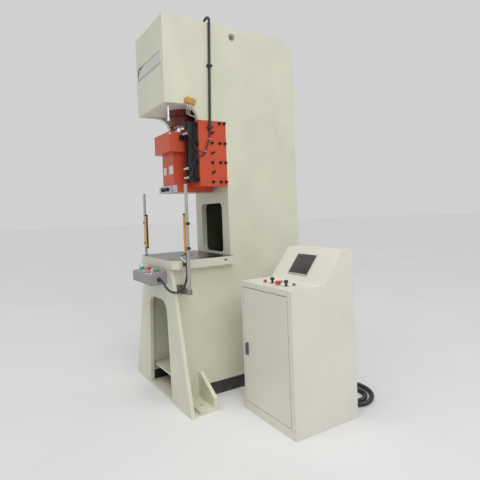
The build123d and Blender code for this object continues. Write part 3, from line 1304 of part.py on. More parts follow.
def button_box():
    """Sheet box with a sloping lid, drilled for its buttons."""
    half = BOX_WIDTH / 2
    sheet = BOX_SHEET
    outline = [
        (BOX_FRONT_Y, BOX_BOTTOM_Z),
        (BOX_BACK_Y, BOX_BOTTOM_Z),
        (BOX_BACK_Y, BOX_BACK_Z),
        (BOX_FRONT_Y, BOX_FRONT_Z),
    ]
    inside = [
        (BOX_FRONT_Y + sheet, BOX_BOTTOM_Z + sheet),
        (BOX_BACK_Y - sheet, BOX_BOTTOM_Z + sheet),
        (BOX_BACK_Y - sheet, BOX_BACK_Z - LID_SHEET),
        (BOX_FRONT_Y + sheet, BOX_FRONT_Z - LID_SHEET),
    ]
    shell = profile_x(outline, (-half, half)) - profile_x(inside, (-half + sheet, half - sheet))
    for place in BOX_BUTTONS:
        shell = shell - on_box(place) * Cylinder(STEM_RADIUS + STEM_GAP, STEM_CUT)
    return shell


def collar(outer):
    """Collar that a button's stem slides in."""
    ring = Pos(0, 0, COLLAR_HEIGHT / 2) * Cylinder(outer, COLLAR_HEIGHT)
    return ring - Cylinder(STEM_RADIUS + STEM_GAP, 4 * COLLAR_HEIGHT)


def button_stem(low):
    """Stem of a button, from inside the lid up to its cap."""
    return Pos(0, 0, (low - STEM_DEPTH) / 2) * Cylinder(STEM_RADIUS, low + STEM_DEPTH)


def push_cap(radius, height, travel):
    """Flat-topped button cap on its stem, standing clear of the collar."""
    low = COLLAR_HEIGHT + travel + STEM_GAP
    cap = Pos(0, 0, low + height / 2) * Cylinder(radius, height)
    cap = fillet(cap.edges().group_by(Axis.Z)[-1], CAP_ROUNDING)
    return cap + button_stem(low)


def mushroom(radius, height, travel):
    """Domed button on its stem."""
    low = COLLAR_HEIGHT + travel + STEM_GAP
    dome = Pos(0, 0, low + height / 2) * Cylinder(radius, height)
    dome = fillet(dome.edges().group_by(Axis.Z)[-1], height * DOME_SHARE)
    return dome + button_stem(low)


def box_collars():
    """Collars on the box lid, its two lamps and the wire guard at its left."""
    pieces = []
    for place in BOX_BUTTONS:
        big = place in (PALM_LEFT, PALM_RIGHT, BOX_STOP)
        pieces.append(on_box(place) * collar(PALM_COLLAR_RADIUS if big else CAP_RADIUS + COLLAR_RIM))
    for place in BOX_LAMPS:
        lamp = Pos(0, 0, LAMP_HEIGHT / 2) * Cylinder(CAP_RADIUS, LAMP_HEIGHT)
        pieces.append(on_box(place) * fillet(lamp.edges().group_by(Axis.Z)[-1], LAMP_ROUNDING))
    middle = BOX_DEPTH / 2
    ends = [on_box((GUARD_X, middle + side * GUARD_SPAN / 2)).position for side in (1, -1)]
    top = on_box((GUARD_X, middle)).position.Z + GUARD_HEIGHT
    lift = GUARD_WIRE * math.tan(math.radians(BOX_TILT))
    points = (
        (GUARD_X, ends[0].Y, ends[0].Z + lift),
        (GUARD_X, ends[0].Y, top),
        (GUARD_X, ends[1].Y, top),
        (GUARD_X, ends[1].Y, ends[1].Z + lift),
    )
    pieces.append(routed_tube(points, GUARD_WIRE, [GUARD_BEND, GUARD_BEND]))
    return group(pieces)


def console_outline(inset):
    """Side outline of the console, moved inwards by a sheet's thickness."""
    shift = inset * math.tan(math.radians(SLOPE_ANGLE) / 2)
    return [
        (CONSOLE_Y[0] + inset, inset),
        (CONSOLE_Y[1] - inset, inset),
        (CONSOLE_Y[1] - inset, CONSOLE_HEIGHT - inset),
        (SLOPE_TOP_Y + shift, CONSOLE_HEIGHT - inset),
        (SLOPE_FOOT_Y + shift, DESK_Z - inset),
        (CONSOLE_Y[0] + inset, DESK_Z - inset),
    ]


def desk_place(place):
    """A button's seat on the desk."""
    return Pos(place[0], place[1], DESK_Z)


def on_slope():
    """Centre of the operator panel on the console's sloping face."""
    slope = math.radians(SLOPE_ANGLE)
    y = SLOPE_FOOT_Y + HMI_ALONG_SLOPE * math.cos(slope)
    z = DESK_Z + HMI_ALONG_SLOPE * math.sin(slope)
    return Pos(HMI_CENTRE_X, y, z) * Rot(SLOPE_ANGLE, 0, 0)


def console_cabinet():
    """Folded sheet cabinet with its door opening, panel cut-outs and pins."""
    sheet = CONSOLE_SHEET
    outer = profile_x(console_outline(0), CONSOLE_X)
    inner = profile_x(console_outline(sheet), (CONSOLE_X[0] + sheet, CONSOLE_X[1] - sheet))
    cabinet = outer - inner
    frame_y = (CONSOLE_Y[0], CONSOLE_Y[0] + CONSOLE_FRAME)
    frame_x = (CONSOLE_X[0] + sheet, CONSOLE_X[1] - sheet)
    cabinet = cabinet + block(frame_x, frame_y, (sheet, DESK_Z - sheet))
    opening_x = (DOOR_X[0] - DOOR_GAP, DOOR_X[1] + DOOR_GAP)
    opening_z = (DOOR_Z[0] - DOOR_GAP, DOOR_Z[1] + DOOR_GAP)
    cabinet = cabinet - block(opening_x, (CONSOLE_Y[0] - 1, frame_y[1] + 1), opening_z)
    for z in ((opening_z[0], DOOR_Z[0] + PIN_LENGTH), (DOOR_Z[1] - PIN_LENGTH, opening_z[1])):
        cabinet = cabinet + upright(PIN_X, PIN_Y, z, PIN_RADIUS)
    for place in DESK_BUTTONS:
        cabinet = cabinet - desk_place(place) * Cylinder(STEM_RADIUS + STEM_GAP, STEM_CUT)
    rim = HMI_RIM - HMI_CUT_GAP
    cut = Box(HMI_WIDTH - 2 * rim, HMI_HEIGHT - 2 * rim, HMI_BODY_DEPTH)
    return cabinet - on_slope() * cut


def console_door():
    """Pan-shaped door with bored blocks for its pins and the lock's seat."""
    y = (CONSOLE_Y[0], CONSOLE_Y[0] + DOOR_DEPTH)
    door = block(DOOR_X, y, DOOR_Z)
    hollow_x = (DOOR_X[0] + DOOR_RIM, DOOR_X[1] - DOOR_RIM)
    hollow_z = (DOOR_Z[0] + DOOR_RIM, DOOR_Z[1] - DOOR_RIM)
    door = door - block(hollow_x, (y[0] + CONSOLE_SHEET, y[1] + 1), hollow_z)
    for z in ((DOOR_Z[0] - 1, DOOR_Z[0] + PIN_LENGTH + 1), (DOOR_Z[1] - PIN_LENGTH - 1, DOOR_Z[1] + 1)):
        door = door - upright(PIN_X, PIN_Y, z, PIN_RADIUS + PIN_GAP)
    seat_y = (y[0] - LOCK_SEAT, y[0])
    seat = rounded_y(LOCK_WIDTH, LOCK_HEIGHT, LOCK_WIDTH / 2 - 1, LOCK_X, LOCK_Z - LOCK_HEIGHT / 2, seat_y)
    hole = rod((LOCK_X, seat_y[0] - 1, LOCK_Z), (LOCK_X, y[1] + 1, LOCK_Z), STEM_RADIUS + STEM_GAP)
    return door + seat - hole


def console_lock():
    """Lever handle of the door lock with its spindle and cam."""
    face = CONSOLE_Y[0] - LOCK_SEAT
    lever_y = (face - LEVER_Y[0], face - LEVER_Y[1])
    length = LOCK_HEIGHT - 2 * LEVER_MARGIN
    lever = rounded_y(LEVER_WIDTH, length, LEVER_WIDTH / 2 - 0.5, LOCK_X, LOCK_Z - length / 2, lever_y)
    cam_y = (CONSOLE_Y[0] + CAM_Y[0], CONSOLE_Y[0] + CAM_Y[1])
    spindle = rod((LOCK_X, lever_y[1] - 1, LOCK_Z), (LOCK_X, cam_y[1], LOCK_Z), STEM_RADIUS)
    cam_x = (LOCK_X - CAM_WIDTH / 2, LOCK_X + CAM_WIDTH / 2)
    cam = block(cam_x, cam_y, (LOCK_Z + CAM_Z[0], LOCK_Z + CAM_Z[1]))
    return lever + spindle + cam


def hmi_frame():
    """Frame and body of the operator panel."""
    inner = (HMI_WIDTH - 2 * HMI_RIM, HMI_HEIGHT - 2 * HMI_RIM)
    frame = Pos(0, 0, HMI_PROUD / 2) * Box(HMI_WIDTH, HMI_HEIGHT, HMI_PROUD)
    frame = chamfer(frame.edges().group_by(Axis.Z)[-1], HMI_CHAMFER)
    frame = frame - Pos(0, 0, HMI_PROUD) * Box(*inner, 3 * HMI_GLASS)
    body = Pos(0, 0, -HMI_BODY_DEPTH / 2) * Box(*inner, HMI_BODY_DEPTH)
    return on_slope() * (frame + body)


def hmi_screen():
    """Glass of the operator panel, set in its frame."""
    glass = Box(HMI_WIDTH - 2 * HMI_RIM, HMI_HEIGHT - 2 * HMI_RIM, HMI_GLASS)
    return on_slope() * Pos(0, 0, HMI_PROUD - HMI_GLASS) * glass


def desk_collars():
    """Collars of the desk's buttons and knobs."""
    pieces = []
    for place in DESK_BUTTONS:
        big = place in (DESK_KNOB_LEFT, DESK_KNOB_RIGHT, DESK_STOP)
        pieces.append(desk_place(place) * collar(DESK_COLLAR_RADIUS if big else CAP_RADIUS + COLLAR_RIM))
    return group(pieces)


def selector_knob(place):
    """Round knob on a stem, with a grip flat on each side."""
    low = COLLAR_HEIGHT + KNOB_STEM
    stem = Pos(0, 0, (low - STEM_DEPTH) / 2) * Cylinder(KNOB_STEM_RADIUS, low + STEM_DEPTH)
    shoulder = Pos(0, 0, COLLAR_HEIGHT + STEM_GAP + KNOB_SHOULDER[1] / 2) * Cylinder(*KNOB_SHOULDER)
    head = Pos(0, 0, low + KNOB_HEIGHT / 2) * Cylinder(KNOB_RADIUS, KNOB_HEIGHT)
    head = fillet(head.edges().group_by(Axis.Z)[-1], KNOB_ROUNDING)
    grip = Box(KNOB_RADIUS, KNOB_GRIP_LENGTH, KNOB_HEIGHT)
    for side in (-1, 1):
        head = head - Pos(side * KNOB_GRIP_X, 0, low + KNOB_HEIGHT) * grip
    return desk_place(place) * (stem + shoulder + head)


def control_gear():
    """Mounting plate in the console with contactors, controller and terminals."""
    back = CONSOLE_Y[1] - CONSOLE_SHEET
    plate_y = (back - GEAR_STANDOFF - GEAR_PLATE, back - GEAR_STANDOFF)
    x = (CONSOLE_X[0] + GEAR_INSET, CONSOLE_X[1] - GEAR_INSET)
    rail_x = (x[0] + GEAR_STANDOFF, x[1] - GEAR_STANDOFF)
    front = plate_y[0] - GEAR_RAIL_DEPTH
    plate = block(x, plate_y, GEAR_Z)
    for corner_x in rail_x:
        for corner_z in (GEAR_Z[0] + GEAR_STANDOFF, GEAR_Z[1] - GEAR_STANDOFF):
            start = (corner_x, plate_y[1], corner_z)
            plate = plate + rod(start, (corner_x, back, corner_z), GEAR_STANDOFF_RADIUS)
    for rail_z in GEAR_RAILS_Z:
        rail_height = (rail_z - GEAR_RAIL_HEIGHT / 2, rail_z + GEAR_RAIL_HEIGHT / 2)
        plate = plate + block(rail_x, (front, plate_y[0]), rail_height)
    devices = list(DEVICES)
    rows = ((CONTACTOR, CONTACTOR_COUNT, CONTACTOR_PITCH), (TERMINAL, TERMINAL_COUNT, TERMINAL_PITCH))
    for (left, right, *rest), count, pitch in rows:
        for step in range(count):
            devices.append((left + step * pitch, right + step * pitch, *rest))
    for left, right, low, high, depth in devices:
        plate = plate + block((x[0] + left, x[0] + right), (front - depth, front), (low, high))
    return plate


def saddles():
    """Saddles that hold the side conduit, and its gland on the top plate."""
    conduit = side_conduit()
    pieces = []
    for z in SADDLE_ROWS_Z:
        share = (CONDUIT_CREST_Z - z) / (CONDUIT_CREST_Z - CONDUIT_END_Z)
        y = CONDUIT_TOP_Y + share * (CONDUIT_END_Y - CONDUIT_TOP_Y)
        half = (SADDLE_WIDTH / 2, SADDLE_HEIGHT / 2)
        out = SIDE_CONDUIT_X + CONDUIT_RADIUS + SADDLE_WALL
        saddle = block((HALF_WIDTH, out), (y - half[0], y + half[0]), (z - half[1], z + half[1]))
        pieces.append(saddle - conduit)
    top_z = FRAME_HEIGHT - TOP_RECESS
    gland = upright(CONDUIT_GLAND_X, CONDUIT_TOP_Y, (top_z, top_z + GLAND_LENGTH), CONDUIT_RADIUS + GLAND_WALL)
    pieces.append(gland - conduit)
    return pieces


def table_clip():
    """Clip on the table's edge with the end gland, its wing screw and tail."""
    x, y, z = BOX_CONDUIT_POINTS[-1]
    edge = TABLE_WIDTH / 2
    thick, width, height = CLIP_PLATE
    plate = Pos(edge + thick / 2, y, CLIP_Z) * Box(thick, width, height)
    arm_y, arm_z = CLIP_ARM
    arm = block((edge + thick, x), (y - arm_y / 2, y + arm_y / 2), (CLIP_Z - arm_z / 2, CLIP_Z + arm_z / 2))
    gland_top = z + GLAND_LENGTH + GLAND_WALL
    gland = upright(x, y, (z, gland_top), BOX_CONDUIT_RADIUS + GLAND_WALL)
    tail = rod((x, y, gland_top - CLIP_TAIL_OVERLAP), CLIP_TAIL, CLIP_TAIL_RADIUS)
    wing_y = y - CLIP_WING_Y
    screw = rod((x, y, CLIP_Z), (x, wing_y, CLIP_Z), CLIP_SCREW_RADIUS)
    wing = Pos(x, wing_y, CLIP_Z) * Box(*CLIP_WING)
    return plate + arm + gland + tail + screw + wing


def bar_lead():
    """Lead from the end gland up into the right light bar."""
    x, y, z = BOX_CONDUIT_POINTS[-1]
    start_z = z + GLAND_LENGTH + GLAND_WALL
    end_x = POST_X - BAR_OFFSET
    points = (
        (x, y, start_z),
        (x, y, start_z + BAR_LEAD_RUN[0]),
        (end_x, POST_Y, BAR_Z[0] - BAR_LEAD_RUN[1]),
        (end_x, POST_Y, BAR_Z[0]),
    )
    return routed_tube(points, BAR_LEAD_RADIUS)


def cable_fittings():
    """Glands, saddles and clips of the conduits."""
    pieces = saddles() + [table_clip(), bar_lead()]
    start = BOX_CONDUIT_POINTS[0]
    pieces.append(rod((BOX_WIDTH / 2, start[1], start[2]), start, BOX_CONDUIT_RADIUS + GLAND_WALL))
    ends = ((FLOOR_CONDUIT_POINTS[0], CONSOLE_Y[1]), (FLOOR_CONDUIT_POINTS[-1], FRAME_HALF_DEPTH))
    for point, wall_y in ends:
        pieces.append(rod((point[0], wall_y, point[2]), point, FLOOR_CONDUIT_RADIUS + GLAND_WALL))
    return group(pieces)


def box_conduit():
    """Conduit that sags from the button box to the light curtain."""
    return routed_tube(BOX_CONDUIT_POINTS, BOX_CONDUIT_RADIUS)


def floor_conduit():
    """Corrugated conduit lying in a loop behind the console."""
    return routed_tube(FLOOR_CONDUIT_POINTS, FLOOR_CONDUIT_RADIUS)


right_side = side_plate((INNER_X, HALF_WIDTH))
right_guide = guide_block()
palm_cap = mushroom(PALM_RADIUS, PALM_HEIGHT, PALM_TRAVEL)
box_cap = push_cap(CAP_RADIUS, CAP_HEIGHT, BUTTON_TRAVEL)
desk_cap = push_cap(CAP_RADIUS, DESK_CAP_HEIGHT, BUTTON_TRAVEL)

nodes = {
    "right_side_plate": right_side,
    "left_side_plate": mirrored_x(right_side),
    "head_box": head_box(),
    "column_box": column_box(),
    "back_plate": back_plate(),
    "back_cover": back_cover(),
    "pedestal_front_plate": pedestal_front(),
    "base_plate": base_plate(),
    "plinth_rails": group([plinth_rail(1), plinth_rail(-1)]),
    "anchor_feet": anchor_feet(),
    "lifting_tube": lifting_tube(),
    "work_table": work_table(),
    "right_guide_block": right_guide,
    "left_guide_block": mirrored_x(right_guide),
    "guide_liners": guide_liners(),
    "guide_screws": guide_screws(),
    "slide_body": slide_body(),
    "tool_clamp": tool_clamp(),
    "slide_screws": slide_screws(),
    "piston_rod": piston_rod(),
    "cylinder_barrel": cylinder_barrel(),
    "cylinder_ring_nut": ring_nut(),
    "cylinder_gland": cylinder_gland(),
    "valve_block": valve_block(),
    "oil_tank": oil_tank(),
    "pump_motor": pump_motor(),
    "oil_pipes": oil_pipes(),
    "sensor_rail": sensor_rail(),
    "proximity_sensors": proximity_sensors(),
    "trigger_cam": trigger_cam(),
    "sensor_wiring": sensor_wiring(),
    "lube_distributor": lube_distributor(),
    "lube_tubes": lube_tubes(),
    "curtain_posts": curtain_posts(),
    "curtain_bars": curtain_bars(),
    "curtain_brackets": curtain_brackets(),
    "button_box": button_box(),
    "box_collars": box_collars(),
    "left_palm_button": on_box(PALM_LEFT) * palm_cap,
    "right_palm_button": on_box(PALM_RIGHT) * palm_cap,
    "box_stop_button": on_box(BOX_STOP) * mushroom(PALM_RADIUS, STOP_HEIGHT, PALM_TRAVEL),
    "box_white_button": on_box(BOX_WHITE) * box_cap,
    "box_green_button": on_box(BOX_GREEN) * box_cap,
    "box_red_button": on_box(BOX_RED) * box_cap,
    "box_conduit": box_conduit(),
    "console_cabinet": console_cabinet(),
    "console_door": console_door(),
    "console_lock": console_lock(),
    "hmi_frame": hmi_frame(),
    "hmi_screen": hmi_screen(),
    "desk_collars": desk_collars(),
    "desk_red_button": desk_place(DESK_RED) * push_cap(DESK_RED_RADIUS, DESK_RED_HEIGHT, BUTTON_TRAVEL),
    "desk_stop_button": desk_place(DESK_STOP) * mushroom(PALM_RADIUS, DESK_STOP_HEIGHT, PALM_TRAVEL),
    "desk_rear_green_button": desk_place(DESK_GREEN_REAR) * desk_cap,
    "desk_right_green_button": desk_place(DESK_GREEN_RIGHT) * desk_cap,
    "left_selector_knob": selector_knob(DESK_KNOB_LEFT),
    "right_selector_knob": selector_knob(DESK_KNOB_RIGHT),
    "control_gear": control_gear(),
    "cable_fittings": cable_fittings(),
    "floor_conduit": floor_conduit(),
}

for name, points, radius in (
    ("box_conduit", BOX_CONDUIT_POINTS, BOX_CONDUIT_RADIUS),
    ("floor_conduit", FLOOR_CONDUIT_POINTS, FLOOR_CONDUIT_RADIUS),
):
    radii = arc_radii(points)
    print(name, "bend radii in diameters", [round(r / radius / 2, 1) for r in radii])

os.makedirs("parts", exist_ok=True)
for name, shape in nodes.items():
    export_step(shape, f"parts/{name}.step")
print(len(nodes), "nodes")
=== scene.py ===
"""Looks of a single-column hydraulic punching press with its control console.

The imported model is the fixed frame. Each class dresses one sub-assembly of it.
Sizes of pieces are in millimetres and turn into metres where a mesh or a finish is made.
"""

from __future__ import annotations

import json
import logging
import math
from collections.abc import Callable
from dataclasses import dataclass, replace
from enum import Enum

import bmesh
import bpy
from mathutils import Matrix, Vector

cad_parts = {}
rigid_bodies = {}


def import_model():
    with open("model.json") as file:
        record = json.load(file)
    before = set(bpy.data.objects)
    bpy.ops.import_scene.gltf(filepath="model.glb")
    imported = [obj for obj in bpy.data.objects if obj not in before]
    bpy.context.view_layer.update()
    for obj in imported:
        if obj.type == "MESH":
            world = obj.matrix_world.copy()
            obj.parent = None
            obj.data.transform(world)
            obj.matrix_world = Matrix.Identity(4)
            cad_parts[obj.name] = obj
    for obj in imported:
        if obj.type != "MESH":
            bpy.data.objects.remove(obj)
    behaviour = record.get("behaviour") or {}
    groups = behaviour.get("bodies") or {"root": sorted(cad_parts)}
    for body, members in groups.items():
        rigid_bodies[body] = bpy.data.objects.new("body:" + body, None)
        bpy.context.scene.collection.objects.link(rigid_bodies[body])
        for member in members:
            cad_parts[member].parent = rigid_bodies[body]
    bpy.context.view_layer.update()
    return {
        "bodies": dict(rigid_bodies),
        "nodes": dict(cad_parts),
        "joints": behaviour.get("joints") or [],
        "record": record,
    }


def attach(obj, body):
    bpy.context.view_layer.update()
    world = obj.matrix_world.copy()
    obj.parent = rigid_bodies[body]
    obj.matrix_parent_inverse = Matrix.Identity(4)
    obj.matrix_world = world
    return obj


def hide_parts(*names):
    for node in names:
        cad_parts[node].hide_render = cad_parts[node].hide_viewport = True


LOG = logging.getLogger("press")
Point = tuple[float, float, float]
Colour = tuple[float, float, float]
Profile = list[tuple[float, float]]

MM = 0.001
RIGHT: Point = (1.0, 0.0, 0.0)
LEFT: Point = (-1.0, 0.0, 0.0)
FRONT: Point = (0.0, -1.0, 0.0)
REAR: Point = (0.0, 1.0, 0.0)
UP: Point = (0.0, 0.0, 1.0)
DOWN: Point = (0.0, 0.0, -1.0)
EVEN: Point = (1.0, 1.0, 1.0)

# A zone has no limit on a side that is this many millimetres away.
FAR = 99000.0
# Noise hardly leaves this range.
NOISE_RANGE = (0.3, 0.7)
# The mask of an edge grows while the cosine of its turn falls from the first to the second.
EDGE_TURN = (0.995, 0.93)
EDGE_SAMPLES = 6
# A surface faces a direction where the cosine between them is above this.
FACING = 0.6
# The mix node's first input, second input and output, for numbers and for colours.
NUMBER_SOCKETS = (2, 3, 0)
COLOUR_SOCKETS = (6, 7, 2)
DUST: Colour = (0.5, 0.49, 0.45)
# Corners of a mesh that are closer than this, in metres, become one.
MERGE_DISTANCE = 1e-6
# An edge that turns by more than this many degrees looks sharp.
SHARP_TURN = 38.0


def scaled(colour: Colour, share: float) -> Colour:
    """A colour made lighter or darker by one factor."""
    return (colour[0] * share, colour[1] * share, colour[2] * share)


def metres(point: Point | Vector) -> Vector:
    """A place given in millimetres, in metres."""
    return Vector(point) * MM


class Graph:
    """The nodes of one material, ending in one shader."""

    def __init__(self, name: str) -> None:
        """Starts an empty material with its shader and its coordinates.

        Args:
            name: Name of the material.
        """
        self.material = bpy.data.materials.new(name)
        self.material.use_nodes = True
        self.tree = self.material.node_tree
        self.tree.nodes.clear()
        self.shader = self.node("ShaderNodeBsdfPrincipled")
        output = self.node("ShaderNodeOutputMaterial")
        self.join(self.shader.outputs["BSDF"], output.inputs["Surface"])
        coordinates = self.node("ShaderNodeTexCoord")
        self.place = coordinates.outputs["Object"]
        self.facing = coordinates.outputs["Normal"]

    def node(self, kind: str, **settings: object) -> bpy.types.ShaderNode:
        """Adds a node.

        Args:
            kind: Blender's name of the node type.
            settings: Properties to set on it.

        Returns:
            The new node.
        """
        made = self.tree.nodes.new(kind)
        for name, value in settings.items():
            setattr(made, name, value)
        return made

    def join(self, source: bpy.types.NodeSocket, target: bpy.types.NodeSocket) -> None:
        """Links an output to an input."""
        self.tree.links.new(source, target)

    def feed(self, target: bpy.types.NodeSocket, value: object) -> None:
        """Gives an input a link, a number or a colour.

        Args:
            target: The input.
            value: An output to link, a number, or a colour of three parts.
        """
        if isinstance(value, bpy.types.NodeSocket):
            self.join(value, target)
        elif isinstance(value, tuple) and target.type == "RGBA":
            target.default_value = (*value, 1.0)
        else:
            target.default_value = value

    def maths(self, operation: str, first: object, second: object = 0.0) -> bpy.types.NodeSocket:
        """One arithmetic step.

        Args:
            operation: Blender's name of the step.
            first: A number or an output.
            second: A number or an output.

        Returns:
            The result, held between 0 and 1 only where the step does so.
        """
        made = self.node("ShaderNodeMath", operation=operation)
        self.feed(made.inputs[0], first)
        self.feed(made.inputs[1], second)
        return made.outputs[0]

    def noise(
        self,
        size: float,
        detail: float = 3.0,
        stretch: Point = EVEN,
        roughness: float = 0.5,
    ) -> bpy.types.NodeSocket:
        """Cloudy noise.

        Args:
            size: Rough size of a patch in millimetres.
            detail: How many finer layers it has.
            stretch: How many times longer the patches are along each axis.
            roughness: Weight of the finer layers.

        Returns:
            A value around 0.5.
        """
        made = self.node("ShaderNodeTexNoise")
        made.inputs["Scale"].default_value = 1.0 / (size * MM)
        made.inputs["Detail"].default_value = detail
        made.inputs["Roughness"].default_value = roughness
        squeeze = self.node("ShaderNodeVectorMath", operation="DIVIDE")
        self.join(self.place, squeeze.inputs[0])
        squeeze.inputs[1].default_value = stretch
        self.join(squeeze.outputs[0], made.inputs["Vector"])
        return made.outputs[0]

    def span(
        self, value: bpy.types.NodeSocket, low: float, high: float, first: float = 0.0, last: float = 1.0
    ) -> bpy.types.NodeSocket:
        """Stretches part of a value's range over another.

        Args:
            value: The value.
            low: Where it starts.
            high: Where it ends.
            first: Result at the start and below it.
            last: Result at the end and above it.

        Returns:
            The new value.
        """
        made = self.node("ShaderNodeMapRange")
        self.join(value, made.inputs["Value"])
        made.inputs["From Min"].default_value = low
        made.inputs["From Max"].default_value = high
        made.inputs["To Min"].default_value = first
        made.inputs["To Max"].default_value = last
        return made.outputs["Result"]

    def patches(
        self,
        size: float,
        detail: float = 3.0,
        stretch: Point = EVEN,
        first: float = 0.0,
        last: float = 1.0,
    ) -> bpy.types.NodeSocket:
        """Cloudy noise that is stretched over a whole range.

        Args:
            size: Rough size of a patch in millimetres.
            detail: How many finer layers it has.
            stretch: How many times longer the patches are along each axis.
            first: The least result.
            last: The greatest result.

        Returns:
            The stretched value.
        """
        return self.span(self.noise(size, detail, stretch), *NOISE_RANGE, first, last)

    def blend(self, share: object, first: object, second: object) -> bpy.types.NodeSocket:
        """Mixes two colours.

        Args:
            share: 0 for the first colour, 1 for the second.
            first: A colour or an output.
            second: A colour or an output.

        Returns:
            The mixed colour.
        """
        return self.mix("RGBA", COLOUR_SOCKETS, share, first, second)

    def ease(self, share: object, first: object, second: object) -> bpy.types.NodeSocket:
        """Mixes two numbers.

        Args:
            share: 0 for the first number, 1 for the second.
            first: A number or an output.
            second: A number or an output.

        Returns:
            The mixed number.
        """
        return self.mix("FLOAT", NUMBER_SOCKETS, share, first, second)

    def mix(
        self, kind: str, sockets: tuple[int, int, int], share: object, first: object, second: object
    ) -> bpy.types.NodeSocket:
        """Adds a mix node.

        Args:
            kind: Blender's name of what it mixes.
            sockets: Its first input, second input and output for that kind.
            share: 0 for the first value, 1 for the second.
            first: A value or an output.
            second: A value or an output.

        Returns:
            The mixed value.
        """
        made = self.node("ShaderNodeMix", data_type=kind)
        low, high, result = sockets
        self.feed(made.inputs[0], share)
        self.feed(made.inputs[low], first)
        self.feed(made.inputs[high], second)
        return made.outputs[result]

    def rounded_edge(self, radius: float) -> tuple[bpy.types.NodeSocket, bpy.types.NodeSocket]:
        """Light that rolls over sharp edges.

        Args:
            radius: Radius of the edges in millimetres.

        Returns:
            The normal, and a mask that is 1 on the edges.
        """
        bevel = self.node("ShaderNodeBevel", samples=EDGE_SAMPLES)
        bevel.inputs["Radius"].default_value = radius * MM
        plain = self.node("ShaderNodeNewGeometry")
        turn = self.node("ShaderNodeVectorMath", operation="DOT_PRODUCT")
        self.join(bevel.outputs["Normal"], turn.inputs[0])
        self.join(plain.outputs["Normal"], turn.inputs[1])
        mask = self.span(turn.outputs["Value"], *EDGE_TURN)
        return bevel.outputs["Normal"], mask

    def relief(
        self, height: bpy.types.NodeSocket, depth: float, normal: bpy.types.NodeSocket | None = None
    ) -> bpy.types.NodeSocket:
        """Bumps the surface.

        Args:
            height: Value from 0 to 1.
            depth: What a height of 1 stands for, in millimetres.
            normal: The normal to start from.

        Returns:
            The bumped normal.
        """
        made = self.node("ShaderNodeBump")
        made.inputs["Distance"].default_value = depth * MM
        self.join(height, made.inputs["Height"])
        if normal is not None:
            self.join(normal, made.inputs["Normal"])
        return made.outputs["Normal"]


class Slot(Enum):
    """The record's material slots, one of which each finish names."""

    FRAME = "frame_paint"
    GREY = "grey_paint"
    STEEL = "bright_steel"
    OXIDE = "black_screws"
    BLACK = "black_plastic"
    HOSE = "black_hose"
    PALE = "pale_plastic"
    GREEN = "green_plastic"
    WHITE = "white_plastic"
    GLASS = "screen_glass"


class Body(Enum):
    """The machine's bodies that carry new pieces."""

    FRAME = "frame"
    SLIDE = "slide"
    DOOR = "door"
    LEFT_KNOB = "left_knob"
    RIGHT_KNOB = "right_knob"


@dataclass(frozen=True)
class Zone:
    """A box in which a node has another finish. Corners are in millimetres.

    Attributes:
        low: Lowest corner. Along X it is the distance from the machine's middle where mirrored.
        high: Highest corner.
        colour: Colour in the box.
        roughness: Roughness in the box.
        metallic: Metallic value in the box.
        toward: Direction that the surface has to face, or None for every one.
        mirrored: Whether the box is on both sides of the machine.
    """

    low: Point = (-FAR, -FAR, -FAR)
    high: Point = (FAR, FAR, FAR)
    colour: Colour = (0.5, 0.5, 0.5)
    roughness: float = 0.4
    metallic: float = 0.0
    toward: Point | None = None
    mirrored: bool = True

    def mask(self, graph: Graph) -> bpy.types.NodeSocket:
        """Works out where the zone is.

        Args:
            graph: The material's graph.

        Returns:
            A value that is 1 in the zone and 0 outside it.
        """
        split = graph.node("ShaderNodeSeparateXYZ")
        graph.join(graph.place, split.inputs[0])
        sideways, lengthways, height = split.outputs
        if self.mirrored:
            sideways = graph.maths("ABSOLUTE", sideways)
        inside: object = 1.0
        for value, low, high in zip((sideways, lengthways, height), self.low, self.high):
            if low > -FAR:
                inside = graph.maths("MULTIPLY", inside, graph.maths("GREATER_THAN", value, low * MM))
            if high < FAR:
                inside = graph.maths("MULTIPLY", inside, graph.maths("LESS_THAN", value, high * MM))
        if self.toward is not None:
            turn = graph.node("ShaderNodeVectorMath", operation="DOT_PRODUCT")
            graph.join(graph.facing, turn.inputs[0])
            turn.inputs[1].default_value = self.toward
            faces = graph.maths("GREATER_THAN", turn.outputs["Value"], FACING)
            inside = graph.maths("MULTIPLY", inside, faces)
        return inside

    def tint(self, graph: Graph) -> bpy.types.NodeSocket:
        """The zone's colour, a little mottled."""
        return graph.blend(graph.patches(120.0, 4.0), scaled(self.colour, 0.9), scaled(self.colour, 1.08))


@dataclass(frozen=True)
class Patches:
    """Patches of one kind of mark, cut out of cloudy noise.

    Attributes:
        size: Rough size of a patch in millimetres.
        detail: How many finer layers the noise has.
        start: Noise at which a patch begins.
        full: Noise at which it is full.
        stretch: How many times longer the patches are along each axis.
        roughness: Weight of the finer layers.
    """

    size: float
    detail: float
    start: float
    full: float
    stretch: Point = EVEN
    roughness: float = 0.5

    def mask(self, graph: Graph) -> bpy.types.NodeSocket:
        """A mask that is 1 in the patches and 0 between them."""
        noise = graph.noise(self.size, self.detail, self.stretch, self.roughness)
        return graph.span(noise, self.start, self.full)


RUB_STREAKS = Patches(190.0, 5.0, 0.56, 0.78, (1.0, 1.0, 2.4), 0.55)
SMEARS = Patches(620.0, 2.0, 0.48, 0.66)
FLOOR_DUST = Patches(90.0, 5.0, 0.35, 0.75)
PAINT_CHIPS = Patches(14.0, 4.0, 0.57, 0.62, roughness=0.7)
RUBBED_DULL = Patches(240.0, 4.0, 0.35, 0.7)
METAL_STAINS = Patches(70.0, 6.0, 0.52, 0.72, roughness=0.62)
DUST_SPECKS = Patches(22.0, 6.0, 0.5, 0.8, roughness=0.65)


